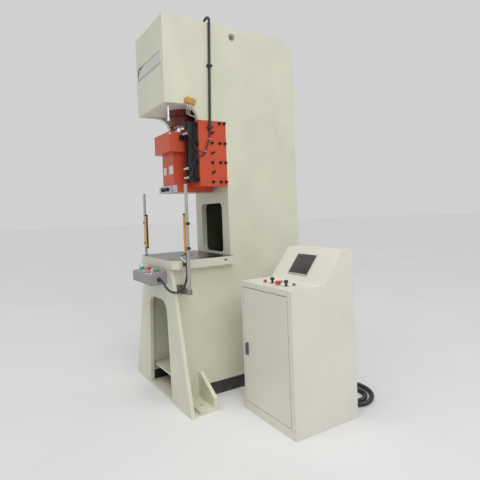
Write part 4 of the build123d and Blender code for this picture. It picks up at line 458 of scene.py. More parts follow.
@dataclass(frozen=True)
class Coat:
    """What every finish has: a colour that drifts, a roughness and its own relief.

    Attributes:
        name: Name of the finish.
        colour: Base colour.
        roughness: Mean roughness.
        metallic: Metallic value.
        drift: How much the colour drifts, as a share.
        drift_size: Size of the drifting patches in millimetres.
        edge: Radius of the edges in millimetres.
        spread: Least and greatest roughness, as shares of the mean one.
        zones: Boxes with another finish.
        slot: The record's slot that this finish names.
    """

    name: str
    colour: Colour
    roughness: float = 0.4
    metallic: float = 0.0
    drift: float = 0.05
    drift_size: float = 350.0
    edge: float = 1.0
    spread: tuple[float, float] = (0.88, 1.12)
    zones: tuple[Zone, ...] = ()
    slot: Slot = Slot.STEEL

    def tint(self, graph: Graph, worn: bpy.types.NodeSocket) -> bpy.types.NodeSocket:
        """The colour over the surface.

        Args:
            graph: The material's graph.
            worn: Mask of the edges; not used here.

        Returns:
            The colour.
        """
        darker, lighter = scaled(self.colour, 1 - self.drift), scaled(self.colour, 1 + self.drift)
        return graph.blend(graph.patches(self.drift_size, 4.0), darker, lighter)

    def gloss(self, graph: Graph) -> bpy.types.NodeSocket:
        """The roughness over the surface."""
        return graph.patches(60.0, 3.0, EVEN, *self.roughness_range())

    def roughness_range(self) -> tuple[float, float]:
        """The least and the greatest roughness."""
        low, high = self.spread
        return self.roughness * low, self.roughness * high

    def surface(self, graph: Graph, normal: bpy.types.NodeSocket) -> bpy.types.NodeSocket:
        """The relief of the surface, laid on the rolled edges."""
        return graph.relief(graph.noise(2.0, 2.0), 0.01, normal)

    def extras(self, graph: Graph) -> None:
        """Sets what only some finishes have."""

    def build(self) -> bpy.types.Material:
        """Makes the material.

        Returns:
            The finished material.
        """
        graph = Graph(self.name)
        normal, worn = graph.rounded_edge(self.edge)
        colour = self.tint(graph, worn)
        rough = self.gloss(graph)
        metal: object = self.metallic
        for zone in self.zones:
            mask = zone.mask(graph)
            colour = graph.blend(mask, colour, zone.tint(graph))
            rough = graph.ease(mask, rough, zone.roughness)
            if zone.metallic != self.metallic:
                metal = graph.ease(mask, metal, zone.metallic)
        graph.join(colour, graph.shader.inputs["Base Color"])
        graph.join(rough, graph.shader.inputs["Roughness"])
        graph.feed(graph.shader.inputs["Metallic"], metal)
        graph.join(self.surface(graph, normal), graph.shader.inputs["Normal"])
        self.extras(graph)
        return graph.material


@dataclass(frozen=True)
class Enamel(Coat):
    """Sprayed enamel on steel plate, with rub marks, dust low down and chipped edges.

    Attributes:
        grime: Strength of the rub marks and dust.
        grime_colour: Their colour.
        chips: Share of the edges that is worn.
        chip_colour: What shows there.
        peel: Depth of the orange peel in millimetres.
        foot: Height in millimetres below which floor dust gathers.
    """

    grime: float = 0.25
    grime_colour: Colour = (0.36, 0.33, 0.26)
    chips: float = 0.35
    chip_colour: Colour = (0.33, 0.31, 0.27)
    peel: float = 0.03
    foot: float = 260.0
    spread: tuple[float, float] = (0.82, 1.2)
    slot: Slot = Slot.FRAME

    def marks(self, graph: Graph) -> bpy.types.NodeSocket:
        """Works out where the rub marks and the floor dust are.

        Args:
            graph: The material's graph.

        Returns:
            A mask that is 1 where they are strongest.
        """
        smeared = graph.maths("MULTIPLY", RUB_STREAKS.mask(graph), SMEARS.mask(graph))
        split = graph.node("ShaderNodeSeparateXYZ")
        graph.join(graph.place, split.inputs[0])
        low = graph.span(split.outputs[2], self.foot * MM, 0.0)
        dust = graph.maths("MULTIPLY", low, FLOOR_DUST.mask(graph))
        return graph.maths("MAXIMUM", smeared, dust)

    def tint(self, graph: Graph, worn: bpy.types.NodeSocket) -> bpy.types.NodeSocket:
        """The colour, with marks, dust and chips.

        Args:
            graph: The material's graph.
            worn: Mask of the edges.

        Returns:
            The colour.
        """
        base = super().tint(graph, worn)
        dirty = graph.maths("MULTIPLY", self.marks(graph), self.grime)
        marked = graph.blend(dirty, base, self.grime_colour)
        flakes = graph.maths("MULTIPLY", worn, PAINT_CHIPS.mask(graph))
        chipped = graph.maths("MULTIPLY", flakes, self.chips)
        return graph.blend(chipped, marked, self.chip_colour)

    def gloss(self, graph: Graph) -> bpy.types.NodeSocket:
        """The roughness: duller where hands and rags have rubbed."""
        return graph.ease(RUBBED_DULL.mask(graph), *self.roughness_range())

    def surface(self, graph: Graph, normal: bpy.types.NodeSocket) -> bpy.types.NodeSocket:
        """Orange peel over the slow waves of filled plate."""
        waves = graph.relief(graph.noise(260.0, 1.0), 0.5, normal)
        return graph.relief(graph.noise(5.0, 2.0), self.peel, waves)


@dataclass(frozen=True)
class BareMetal(Coat):
    """Ground, turned or drawn metal.

    Attributes:
        grain: Stretch of the tool marks along each axis.
        grain_size: Width of a tool mark in millimetres.
        grain_depth: Its depth in millimetres.
        stain: Strength of the stains.
        stain_colour: Their colour.
    """

    metallic: float = 1.0
    grain: Point = EVEN
    grain_size: float = 1.2
    grain_depth: float = 0.006
    stain: float = 0.2
    stain_colour: Colour = (0.2, 0.16, 0.12)
    spread: tuple[float, float] = (0.7, 1.35)
    edge: float = 0.6

    def tint(self, graph: Graph, worn: bpy.types.NodeSocket) -> bpy.types.NodeSocket:
        """The colour, stained in places and brighter on its edges.

        Args:
            graph: The material's graph.
            worn: Mask of the edges.

        Returns:
            The colour.
        """
        base = super().tint(graph, worn)
        spots = graph.maths("MULTIPLY", METAL_STAINS.mask(graph), self.stain)
        stained = graph.blend(spots, base, self.stain_colour)
        return graph.blend(graph.maths("MULTIPLY", worn, 0.4), stained, scaled(self.colour, 1.3))

    def gloss(self, graph: Graph) -> bpy.types.NodeSocket:
        """The roughness, changing from one tool mark to the next."""
        return graph.patches(self.grain_size * 3, 4.0, self.grain, *self.roughness_range())

    def surface(self, graph: Graph, normal: bpy.types.NodeSocket) -> bpy.types.NodeSocket:
        """Tool marks."""
        return graph.relief(graph.noise(self.grain_size, 3.0, self.grain), self.grain_depth, normal)


@dataclass(frozen=True)
class Moulding(Coat):
    """Moulded plastic with a fine grain and a little dust.

    Attributes:
        grain_size: Size of the grain in millimetres.
        grain_depth: Depth of the grain in millimetres.
        dust: Strength of the dust.
        coat: Weight of a clear top layer.
        glow: Strength of the colour's own light.
    """

    grain_size: float = 0.8
    grain_depth: float = 0.01
    dust: float = 0.1
    coat: float = 0.0
    glow: float = 0.0
    edge: float = 0.5
    slot: Slot = Slot.BLACK

    def tint(self, graph: Graph, worn: bpy.types.NodeSocket) -> bpy.types.NodeSocket:
        """The colour, dusted and a little paler on rubbed edges.

        Args:
            graph: The material's graph.
            worn: Mask of the edges.

        Returns:
            The colour.
        """
        base = super().tint(graph, worn)
        specks = graph.maths("MULTIPLY", DUST_SPECKS.mask(graph), self.dust)
        dusted = graph.blend(specks, base, DUST)
        pale = tuple(part * 0.8 + 0.05 for part in self.colour)
        return graph.blend(graph.maths("MULTIPLY", worn, 0.25), dusted, pale)

    def surface(self, graph: Graph, normal: bpy.types.NodeSocket) -> bpy.types.NodeSocket:
        """Moulded grain."""
        return graph.relief(graph.noise(self.grain_size, 2.0), self.grain_depth, normal)

    def extras(self, graph: Graph) -> None:
        """Sets the clear layer and the colour's own light.

        Args:
            graph: The material's graph.
        """
        graph.shader.inputs["Coat Weight"].default_value = self.coat
        graph.shader.inputs["Coat Roughness"].default_value = 0.08
        if self.glow:
            graph.shader.inputs["Emission Color"].default_value = (*self.colour, 1.0)
            graph.shader.inputs["Emission Strength"].default_value = self.glow


CREAM = (0.70, 0.70, 0.565)
# Dark olive for the inside of the column box: painted shade, for the shade that fills it.
PAINTED_SHADE_OLIVE = (0.105, 0.118, 0.078)
BARE_STEEL = (0.42, 0.41, 0.42)
SOFT_BLACK = (0.022, 0.022, 0.024)
CONSOLE_SLOPE = (0.0, -0.7788, 0.6272)

# Zones of carried-over nodes, in millimetres from the machine's middle on the floor.
# The column box's inside is dark olive and rougher: painted shade.
COLUMN_INSIDE_PAINTED_SHADE = Zone((-1.0, -54.0, 24.0), (269.4, 612.5, 2420.0), PAINTED_SHADE_OLIVE, 0.55)
TABLE_FACE = Zone(toward=UP, colour=(0.20, 0.182, 0.19), roughness=0.3, metallic=1.0)
TABLE_SLOTS = Zone((-1.0, -604.0, 1066.0), (330.0, -110.0, 1130.6), BARE_STEEL, 0.4, 0.9)
LOCK_SEAT = Zone((700.0, -240.0, 415.0), (745.0, -222.4, 525.0), (0.16, 0.165, 0.17), 0.4, mirrored=False)
SLIDE_EARS = Zone((117.3, -216.0, 1700.0), (190.0, -150.0, 2226.0), BARE_STEEL, 0.22, 1.0)
SLIDE_FOOT = Zone((-1.0, -480.0, 1669.0), (110.0, -150.0, 1671.0), BARE_STEEL, 0.3, 1.0)
TUBE_END = Zone(toward=RIGHT, colour=BARE_STEEL, roughness=0.3, metallic=1.0)
POST_CLAMPS = Zone((-1.0, -700.0, 1150.0), (700.0, -500.0, 1500.0), SOFT_BLACK, 0.4)
CLIP_SCREW = Zone((380.0, -640.0, 1114.8), (424.0, -560.0, 1175.0), (0.6, 0.6, 0.61), 0.25, 1.0)
CLIP_PLATE = Zone((380.0, -620.0, 1089.0), (386.0, -520.0, 1123.0), (0.5, 0.5, 0.51), 0.3, 1.0)
BAR_FOOT = Zone((-1.0, -700.0, 1100.0), (700.0, -500.0, 1196.0), SOFT_BLACK, 0.4)
BAR_HEAD = Zone((-1.0, -700.0, 1482.0), (700.0, -500.0, 1600.0), SOFT_BLACK, 0.4)
BAR_RECESS = Zone((417.6, -570.0, 1195.0), (419.8, -554.0, 1483.0), SOFT_BLACK, 0.1)
GLASS_BORDER = Zone(
    (838.0, 0.0, 1020.8), (1048.0, 300.0, 1150.0), SOFT_BLACK, 0.24, toward=CONSOLE_SLOPE, mirrored=False
)
GEAR_PLATE = Zone(
    (660.0, 308.0, 170.0), (1260.0, 342.0, 870.0), (0.55, 0.56, 0.56), 0.35, 0.9, mirrored=False
)
CONTACTORS = Zone((755.0, 200.0, 675.0), (985.0, 309.5, 770.0), (0.10, 0.105, 0.11), mirrored=False)
DRIVE = Zone((1005.0, 200.0, 660.0), (1155.0, 309.5, 780.0), (0.16, 0.17, 0.18), mirrored=False)
CONTROLLER = Zone((755.0, 200.0, 460.0), (955.0, 309.5, 580.0), (0.62, 0.63, 0.60), mirrored=False)
POWER_SUPPLY = Zone((975.0, 190.0, 455.0), (1075.0, 309.5, 585.0), (0.07, 0.12, 0.2), mirrored=False)
TERMINALS = Zone((755.0, 200.0, 290.0), (1100.0, 309.5, 350.0), (0.33, 0.36, 0.31), 0.45, mirrored=False)

# Cream enamel, with painted shade inside the column box.
FRAME_ENAMEL = Enamel("frame_enamel", CREAM, 0.4, zones=(COLUMN_INSIDE_PAINTED_SHADE,))
RED_ENAMEL = Enamel(
    "guide_enamel",
    (0.60, 0.078, 0.029),
    0.36,
    drift=0.07,
    grime=0.2,
    grime_colour=(0.2, 0.04, 0.02),
    chips=0.5,
    chip_colour=(0.14, 0.03, 0.02),
)
CONSOLE_ENAMEL = Enamel(
    "console_enamel", (0.74, 0.725, 0.64), 0.38, drift=0.03, grime=0.16, chips=0.2, foot=200.0
)


class Finish(Enum):
    """Every finish of the press and its console."""

    FRAME = FRAME_ENAMEL
    LIFTING = replace(
        FRAME_ENAMEL, name="lifting_tube_enamel", zones=(TUBE_END, replace(TUBE_END, toward=LEFT))
    )
    # Near-black over the whole band under the side plates, with pale dust low down.
    PLINTH = Enamel(
        "plinth_near_black", (0.028, 0.029, 0.031), 0.55, grime=0.5, grime_colour=(0.16, 0.15, 0.13), foot=105.0
    )
    TABLE = Enamel("table_enamel", (0.68, 0.68, 0.56), 0.42, grime=0.3, zones=(TABLE_FACE, TABLE_SLOTS))
    CONSOLE = CONSOLE_ENAMEL
    DOOR = replace(CONSOLE_ENAMEL, name="door_enamel", colour=(0.735, 0.715, 0.63), zones=(LOCK_SEAT,))
    GUIDE = RED_ENAMEL
    SLIDE = replace(RED_ENAMEL, name="slide_enamel", zones=(SLIDE_EARS, SLIDE_FOOT))
    CYLINDER = Enamel(
        "cylinder_enamel",
        (0.15, 0.02, 0.018),
        0.42,
        drift=0.12,
        grime=0.4,
        grime_colour=(0.05, 0.02, 0.015),
    )
    # Grey set darker than the box's own paint, as painted shade for its shaded front; the oil tank shares
    # it.
    GREY_WITH_PAINTED_SHADE = Enamel(
        "grey_enamel_with_painted_shade", (0.30, 0.285, 0.305), 0.38, edge=0.8, grime=0.2, chips=0.3, foot=0.0, peel=0.015
    )
    MOTOR = Enamel("motor_enamel", (0.1, 0.2, 0.34), 0.45, grime=0.3)
    STEEL = BareMetal("bright_steel", (0.62, 0.62, 0.635), 0.3)
    CLAMP = BareMetal("ground_clamp_steel", (0.6, 0.59, 0.6), 0.26, grain=(30.0, 1.0, 1.0))
    CHROME = BareMetal("hard_chrome", (0.75, 0.75, 0.76), 0.12, stain=0.05, grain=(1.0, 1.0, 8.0))
    PLATE = BareMetal("polished_plate", (0.72, 0.70, 0.66), 0.14, grain=(40.0, 1.0, 1.0), stain=0.12)
    POST = BareMetal("drawn_tube", (0.50, 0.485, 0.46), 0.3, grain=(1.0, 1.0, 40.0), stain=0.3)
    BRONZE = BareMetal("liner_bronze", (0.6, 0.4, 0.16), 0.3, grain=(1.0, 1.0, 20.0), stain=0.35)
    BRASS = BareMetal(
        "machined_brass", (0.62, 0.385, 0.11), 0.33, stain=0.3, stain_colour=(0.2, 0.11, 0.03)
    )
    OXIDE = BareMetal(
        "black_oxide",
        (0.03, 0.03, 0.032),
        0.34,
        0.55,
        stain=0.3,
        stain_colour=(0.06, 0.045, 0.03),
        slot=Slot.OXIDE,
    )
    BRACKET = BareMetal("zinc_and_black", (0.30, 0.29, 0.27), 0.42, 0.85, stain=0.35, zones=(POST_CLAMPS,))
    RAIL = BareMetal("black_anodised", (0.016, 0.016, 0.018), 0.42, 0.4, grain=(1.0, 1.0, 30.0), stain=0.1)
    FITTING = Moulding("cable_fitting", SOFT_BLACK, 0.42, zones=(CLIP_SCREW, CLIP_PLATE))
    HOSE = Moulding(
        "conduit_skin", (0.02, 0.02, 0.022), 0.42, drift=0.15, grain_size=1.5, dust=0.16, slot=Slot.HOSE
    )
    CABLE = Moulding("cable_skin", (0.018, 0.018, 0.02), 0.5, dust=0.12, slot=Slot.HOSE)
    BLACK = Moulding("black_moulding", SOFT_BLACK, 0.36)
    DARK_GREY = Moulding("dark_grey_moulding", (0.09, 0.092, 0.095), 0.4)
    DUCT = Moulding("duct_grey", (0.36, 0.375, 0.39), 0.5, slot=Slot.GREY)
    PALE = Moulding("pale_moulding", (0.72, 0.71, 0.67), 0.45, slot=Slot.PALE)
    LABEL = Moulding("bare_label", (0.72, 0.655, 0.62), 0.35, dust=0.12, slot=Slot.WHITE)
    WHITE = Moulding("white_moulding", (0.80, 0.79, 0.74), 0.3, coat=0.4, dust=0.06, slot=Slot.WHITE)
    TUBE = Moulding("clear_tube", (0.62, 0.60, 0.54), 0.22, coat=0.6, dust=0.15)
    GREEN = Moulding("green_moulding", (0.02, 0.27, 0.12), 0.22, coat=0.5, dust=0.05)
    RED = Moulding("red_moulding", (0.60, 0.028, 0.03), 0.2, coat=0.6, dust=0.05)
    BLUE = Moulding("blue_moulding", (0.03, 0.12, 0.42), 0.35)
    LAMP = Moulding("lamp_lens", (0.62, 0.72, 0.66), 0.12, coat=1.0, dust=0.05, slot=Slot.PALE)
    ORANGE = Moulding(
        "orange_bar", (0.80, 0.36, 0.045), 0.4, dust=0.04, zones=(BAR_FOOT, BAR_HEAD, BAR_RECESS)
    )
    WINDOW = Moulding("dark_window", (0.012, 0.010, 0.012), 0.08, coat=1.0, dust=0.04, slot=Slot.GLASS)
    SIGNAL = Moulding("signal_lamp", (0.10, 0.75, 0.12), 0.2, glow=1.2, slot=Slot.GREEN)
    BEZEL = Moulding("panel_bezel", (0.57, 0.555, 0.56), 0.3, zones=(GLASS_BORDER,))
    SCREEN = Moulding(
        "panel_screen", (0.05, 0.045, 0.056), 0.24, drift=0.12, drift_size=120.0, coat=0.25, dust=0.04
    )
    GEAR = Moulding(
        "control_gear",
        (0.5, 0.5, 0.48),
        0.45,
        zones=(GEAR_PLATE, CONTACTORS, DRIVE, CONTROLLER, POWER_SUPPLY, TERMINALS),
    )


def across(along: Vector) -> tuple[Vector, Vector]:
    """Two directions square to one another and to an axis.

    Args:
        along: The axis.

    Returns:
        The two directions, of length 1.
    """
    helper = Vector(UP) if abs(along.normalized().z) < 0.9 else Vector(REAR)
    first = helper.cross(along).normalized()
    return first, along.normalized().cross(first)


def hexagon(flats: float, angle: float) -> float:
    """Distance from the middle of a hexagon to its edge at an angle."""
    sixth = math.pi / 3
    return flats / 2 / math.cos((angle + sixth / 2) % sixth - sixth / 2)


def even_steps(points: list[Vector], step: float) -> list[Vector]:
    """Points at even distances along a line that is given by close points.

    Args:
        points: The close points.
        step: Distance between the new ones.

    Returns:
        The new points, with the first and the last of the old ones.
    """
    total = sum((b - a).length for a, b in zip(points, points[1:]))
    count = max(2, round(total / step))
    spacing = total / count
    found = [points[0].copy()]
    travelled = 0.0
    for low, high in zip(points, points[1:]):
        length = (high - low).length
        while len(found) < count and travelled + length >= len(found) * spacing:
            share = (len(found) * spacing - travelled) / length
            found.append(low.lerp(high, share))
        travelled += length
    found.append(points[-1].copy())
    return found


def line_through(points: tuple[Point, ...], resolution: int = 40) -> list[Vector]:
    """Close points on the smooth line that a route's points control.

    Args:
        points: The route's points in millimetres.
        resolution: Steps from one of them to the next.

    Returns:
        The points in millimetres.
    """
    curve = bpy.data.curves.new("route", "CURVE")
    curve.dimensions = "3D"
    spline = curve.splines.new("NURBS")
    spline.points.add(len(points) - 1)
    for point, place in zip(spline.points, points):
        point.co = (*metres(place), 1.0)
    spline.order_u = 3
    spline.use_endpoint_u = True
    spline.resolution_u = resolution
    holder = bpy.data.objects.new("route", curve)
    bpy.context.scene.collection.objects.link(holder)
    mesh = bpy.data.meshes.new_from_object(holder)
    line = [vertex.co / MM for vertex in mesh.vertices]
    bpy.data.objects.remove(holder)
    bpy.data.curves.remove(curve)
    bpy.data.meshes.remove(mesh)
    return line


class Shape:
    """A mesh in the making. All its sizes are in millimetres."""

    def __init__(self) -> None:
        """Starts an empty mesh."""
        self.mesh = bmesh.new()

    def skin(self, rings: list[list[Vector]], closed: bool = False) -> None:
        """Skins a row of rings of equal count.

        Args:
            rings: The rings, each a list of places.
            closed: Whether the last ring meets the first, so that there are no end faces.
        """
        made = [[self.mesh.verts.new(metres(place)) for place in ring] for ring in rings]
        pairs = list(zip(made, made[1:]))
        if closed:
            pairs.append((made[-1], made[0]))
        else:
            self.mesh.faces.new(tuple(reversed(made[0])))
            self.mesh.faces.new(tuple(made[-1]))
        for low, high in pairs:
            for index in range(len(low)):
                after = (index + 1) % len(low)
                self.mesh.faces.new((low[index], low[after], high[after], high[index]))

    def turned(
        self,
        profile: Profile,
        origin: Point | Vector,
        along: Point | Vector,
        sides: int = 32,
        flats: float = 0.0,
        ribs: float = 0.0,
        hollow: bool = False,
    ) -> None:
        """A body of revolution.

        Args:
            profile: Pairs of radius and height along the axis.
            origin: Where height 0 is.
            along: The axis.
            sides: Steps round the axis.
            flats: Width across the flats of a hexagon that bounds it, or 0.
            ribs: Depth of the ribs that every second step makes, or 0.
            hollow: Whether the profile is a closed loop, as of a ring.
        """
        axis = Vector(along).normalized()
        first, second = across(axis)
        rings = []
        for radius, height in profile:
            ring = []
            for step in range(sides):
                angle = 2 * math.pi * step / sides
                reach = radius - (ribs if step % 2 else 0.0)
                if flats:
                    reach = min(reach, hexagon(flats, angle))
                spoke = first * math.cos(angle) + second * math.sin(angle)
                ring.append(Vector(origin) + axis * height + spoke * reach)
            rings.append(ring)
        self.skin(rings, closed=hollow)

    def block(self, low: Point, high: Point, bevel: float = 0.0, place: Matrix | None = None) -> None:
        """A block with rounded edges.

        Args:
            low: Lowest corner.
            high: Highest corner.
            bevel: Width of the rounding.
            place: Where the block's own axes are, or None for the machine's.
        """
        made = bmesh.ops.create_cube(self.mesh, size=1.0)["verts"]
        size = Vector(high) - Vector(low)
        middle = (Vector(high) + Vector(low)) / 2
        for vertex in made:
            spot = Vector(part * whole for part, whole in zip(vertex.co, size)) + middle
            vertex.co = metres(place @ spot if place else spot)
        if bevel:
            edges = list(dict.fromkeys(edge for vertex in made for edge in vertex.link_edges))
            bmesh.ops.bevel(
                self.mesh, geom=edges, offset=bevel * MM, segments=2, profile=0.5, affect="EDGES"
            )

    def tube(self, path: list[Vector], radii: list[float], sides: int = 12) -> None:
        """A round body along a line.

        Args:
            path: Points of the line.
            radii: Radius at each of them.
            sides: Steps round the line.
        """
        rings = []
        normal = across(path[1] - path[0])[0]
        last = len(path) - 1
        for index, point in enumerate(path):
            ahead = (path[min(index + 1, last)] - path[max(index - 1, 0)]).normalized()
            normal = (normal - ahead * normal.dot(ahead)).normalized()
            side = ahead.cross(normal)
            ring = []
            for step in range(sides):
                angle = 2 * math.pi * step / sides
                ring.append(point + (normal * math.cos(angle) + side * math.sin(angle)) * radii[index])
            rings.append(ring)
        self.skin(rings)

    def finished(
        self, name: str, finish: Finish, shop: Workshop, body: Body = Body.FRAME
    ) -> bpy.types.Object:
        """Turns the mesh into a piece that rides on a body.

        Args:
            name: Name of the piece.
            finish: Its finish, whose material it gets.
            shop: Where finishes are kept.
            body: The body that it rides on.

        Returns:
            The new object.
        """
        bmesh.ops.remove_doubles(self.mesh, verts=self.mesh.verts, dist=MERGE_DISTANCE)
        bmesh.ops.recalc_face_normals(self.mesh, faces=self.mesh.faces)
        mesh = bpy.data.meshes.new(name)
        self.mesh.to_mesh(mesh)
        self.mesh.free()
        mesh.shade_smooth()
        mesh.set_sharp_from_angle(angle=math.radians(SHARP_TURN))
        mesh.materials.append(shop.material(finish))
        made = bpy.data.objects.new(name, mesh)
        bpy.context.scene.collection.objects.link(made)
        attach(made, body.value)
        LOG.info("piece %s on %s, %d faces", name, body.value, len(mesh.polygons))
        return made


class Workshop:
    """Keeps the frame and makes each finish once."""

    def __init__(self, frame: dict) -> None:
        """Takes the loaded frame."""
        self.nodes = frame["nodes"]
        self.made: dict[Finish, bpy.types.Material] = {}

    def material(self, finish: Finish) -> bpy.types.Material:
        """Finds the material of a finish, or makes it on its first use.

        Args:
            finish: The finish.

        Returns:
            Its material.
        """
        if finish not in self.made:
            self.made[finish] = finish.value.build()
        return self.made[finish]

    def corner(self, node: str, choose: Callable[..., float]) -> Vector:
        """Finds one end of a carried-over node's box along each axis.

        Args:
            node: Name of the node.
            choose: min for the lowest corner, max for the highest.

        Returns:
            The corner in millimetres, to a hundredth.
        """
        made = self.nodes[node]
        spots = [made.matrix_world @ Vector(corner) for corner in made.bound_box]
        return Vector([round(choose(spot[axis] for spot in spots) / MM, 2) for axis in range(3)])

    def low(self, node: str) -> Vector:
        """Lowest corner of a carried-over node, in millimetres."""
        return self.corner(node, min)

    def high(self, node: str) -> Vector:
        """Highest corner of a carried-over node, in millimetres."""
        return self.corner(node, max)

    def middle(self, node: str) -> Vector:
        """Middle of a carried-over node's box, in millimetres."""
        return (self.low(node) + self.high(node)) / 2

    def coat(self, finish: Finish, *nodes: str) -> None:
        """Lays a finish on carried-over nodes.

        Args:
            finish: The finish.
            nodes: Names of the nodes.
        """
        for name in nodes:
            for slot in self.nodes[name].material_slots:
                slot.material = self.material(finish)
            LOG.info("node %s in %s", name, finish.value.name)


@dataclass
class PhotoCamera:
    """The camera, where the photograph was taken from.

    Attributes:
        place: Where it stands, in metres.
        azimuth: Turn from the machine's front, in degrees.
        pitch: Tilt upwards, in degrees.
        roll: Turn about its own line of sight, in degrees.
        focal: Focal length in pixels of a frame 480 wide.
        centre_row: Row of the frame that the line of sight meets.
        frame: Width of the frame in pixels.
        sensor: Width of the sensor in millimetres.
        reach: How far it sees, in metres.
    """

    place: Point = (3.419, -1.9225, 1.5)
    azimuth: float = 58.15
    pitch: float = -0.309
    roll: float = 2.175
    focal: float = 427.5
    centre_row: float = 213.0
    frame: float = 480.0
    sensor: float = 36.0
    reach: float = 200.0

    def build(self, shop: Workshop) -> None:
        """Makes the camera and gives it to the scene.

        Args:
            shop: Where finishes are kept; not used.
        """
        turn, tilt, lean = (math.radians(value) for value in (self.azimuth, self.pitch, self.roll))
        level = Vector((math.cos(turn), math.sin(turn), 0.0))
        ahead = Vector((-math.sin(turn), math.cos(turn), 0.0))
        forward = ahead * math.cos(tilt) + Vector(UP) * math.sin(tilt)
        down = forward.cross(level)
        right = level * math.cos(lean) + down * math.sin(lean)
        below = down * math.cos(lean) - level * math.sin(lean)
        data = bpy.data.cameras.new("photo_camera")
        data.sensor_width = self.sensor
        data.lens = self.sensor * self.focal / self.frame
        data.shift_y = (self.centre_row - self.frame / 2) / self.frame
        data.clip_end = self.reach
        made = bpy.data.objects.new("photo_camera", data)
        rows = Matrix((right, -below, -forward)).transposed()
        made.matrix_world = Matrix.Translation(self.place) @ rows.to_4x4()
        bpy.context.scene.collection.objects.link(made)
        bpy.context.scene.camera = made


@dataclass(frozen=True)
class SoftBox:
    """One large soft lamp.

    Attributes:
        name: Name of the lamp.
        place: Where it hangs, in metres.
        aim: What it points at, in metres.
        size: Its width in metres, or in degrees where it shines from afar.
        level: What it adds to a white surface that faces it, from 0 to 1.
    """

    name: str
    place: Point
    aim: Point
    size: float
    level: float

    def shine_from_afar(self) -> None:
        """Makes a lamp so far away that its level is the same everywhere."""
        data = bpy.data.lights.new(self.name, "SUN")
        data.angle = math.radians(self.size)
        data.energy = self.level * math.pi
        self.point(data)

    def hang(self) -> None:
        """Makes a square lamp at its place."""
        data = bpy.data.lights.new(self.name, "AREA")
        data.shape = "SQUARE"
        data.size = self.size
        data.energy = self.level * math.pi**2 * self.way().length_squared
        self.point(data)

    def way(self) -> Vector:
        """The way from the lamp to what it points at, in metres."""
        return Vector(self.aim) - Vector(self.place)

    def point(self, data: bpy.types.Light) -> None:
        """Stands the lamp at its place and points it.

        Args:
            data: The lamp's own data.
        """
        made = bpy.data.objects.new(self.name, data)
        turn = self.way().to_track_quat("-Z", "Y").to_matrix().to_4x4()
        made.matrix_world = Matrix.Translation(self.place) @ turn
        bpy.context.scene.collection.objects.link(made)


@dataclass
class Studio:
    """Pale floor, even light from above and the right, and a pale surround.

    Attributes:
        overhead: Even light from above.
        right_key: Soft light on the machine's right side.
        front_fill: Weak light on its front.
        ambient: Light from all round.
        surround: Colour behind the floor.
        floor_colour: Colour of the floor.
        floor_radius: Radius of the floor in metres.
    """

    overhead: SoftBox = SoftBox("overhead", (1.5, -2.2, 9.0), (0.0, 0.0, 0.0), 50.0, 0.42)
    right_key: SoftBox = SoftBox("right_key", (6.4, -1.2, 5.4), (0.3, -0.1, 2.1), 3.6, 0.33)
    front_fill: SoftBox = SoftBox("front_fill", (-3.2, -7.5, 3.4), (0.0, -0.6, 1.8), 4.0, 0.06)
    ambient: float = 0.36
    surround: Colour = (0.63, 0.635, 0.63)
    floor_colour: Colour = (0.76, 0.765, 0.76)
    floor_radius: float = 60.0

    def build(self, shop: Workshop) -> None:
        """Sets the view transform and makes lamps, surround and floor.

        Args:
            shop: Where finishes are kept; not used.
        """
        bpy.context.scene.view_settings.view_transform = "Standard"
        self.overhead.shine_from_afar()
        self.right_key.hang()
        self.front_fill.hang()
        self.lay_floor()
        self.light_surround()

    def lay_floor(self) -> None:
        """Makes the floor, a wide disc at height 0."""
        graph = Graph("studio_floor")
        darker, lighter = scaled(self.floor_colour, 0.98), scaled(self.floor_colour, 1.02)
        tint = graph.blend(graph.patches(900.0, 4.0), darker, lighter)
        graph.join(tint, graph.shader.inputs["Base Color"])
        graph.shader.inputs["Roughness"].default_value = 0.7
        mesh = bmesh.new()
        bmesh.ops.create_circle(mesh, cap_ends=True, radius=self.floor_radius, segments=96)
        data = bpy.data.meshes.new("studio_floor")
        mesh.to_mesh(data)
        mesh.free()
        data.materials.append(graph.material)
        made = bpy.data.objects.new("studio_floor", data)
        bpy.context.scene.collection.objects.link(made)

    def light_surround(self) -> None:
        """Gives the world its light, and a paler colour to what looks straight at it."""
        world = bpy.data.worlds.new("studio_world")
        world.use_nodes = True
        tree = world.node_tree
        tree.nodes.clear()
        lit = tree.nodes.new("ShaderNodeBackground")
        lit.inputs["Color"].default_value = (1.0, 1.0, 1.0, 1.0)
        lit.inputs["Strength"].default_value = self.ambient
        seen = tree.nodes.new("ShaderNodeBackground")
        seen.inputs["Color"].default_value = (*self.surround, 1.0)
        rays = tree.nodes.new("ShaderNodeLightPath")
        looks = rays.outputs["Is Camera Ray"]
        for kind in ("Is Glossy Ray", "Is Transmission Ray"):
            either = tree.nodes.new("ShaderNodeMath")
            either.operation = "MAXIMUM"
            tree.links.new(looks, either.inputs[0])
            tree.links.new(rays.outputs[kind], either.inputs[1])
            looks = either.outputs[0]
        choice = tree.nodes.new("ShaderNodeMixShader")
        tree.links.new(looks, choice.inputs[0])
        tree.links.new(lit.outputs[0], choice.inputs[1])
        tree.links.new(seen.outputs[0], choice.inputs[2])
        output = tree.nodes.new("ShaderNodeOutputWorld")
        tree.links.new(choice.outputs[0], output.inputs["Surface"])
        bpy.context.scene.world = world


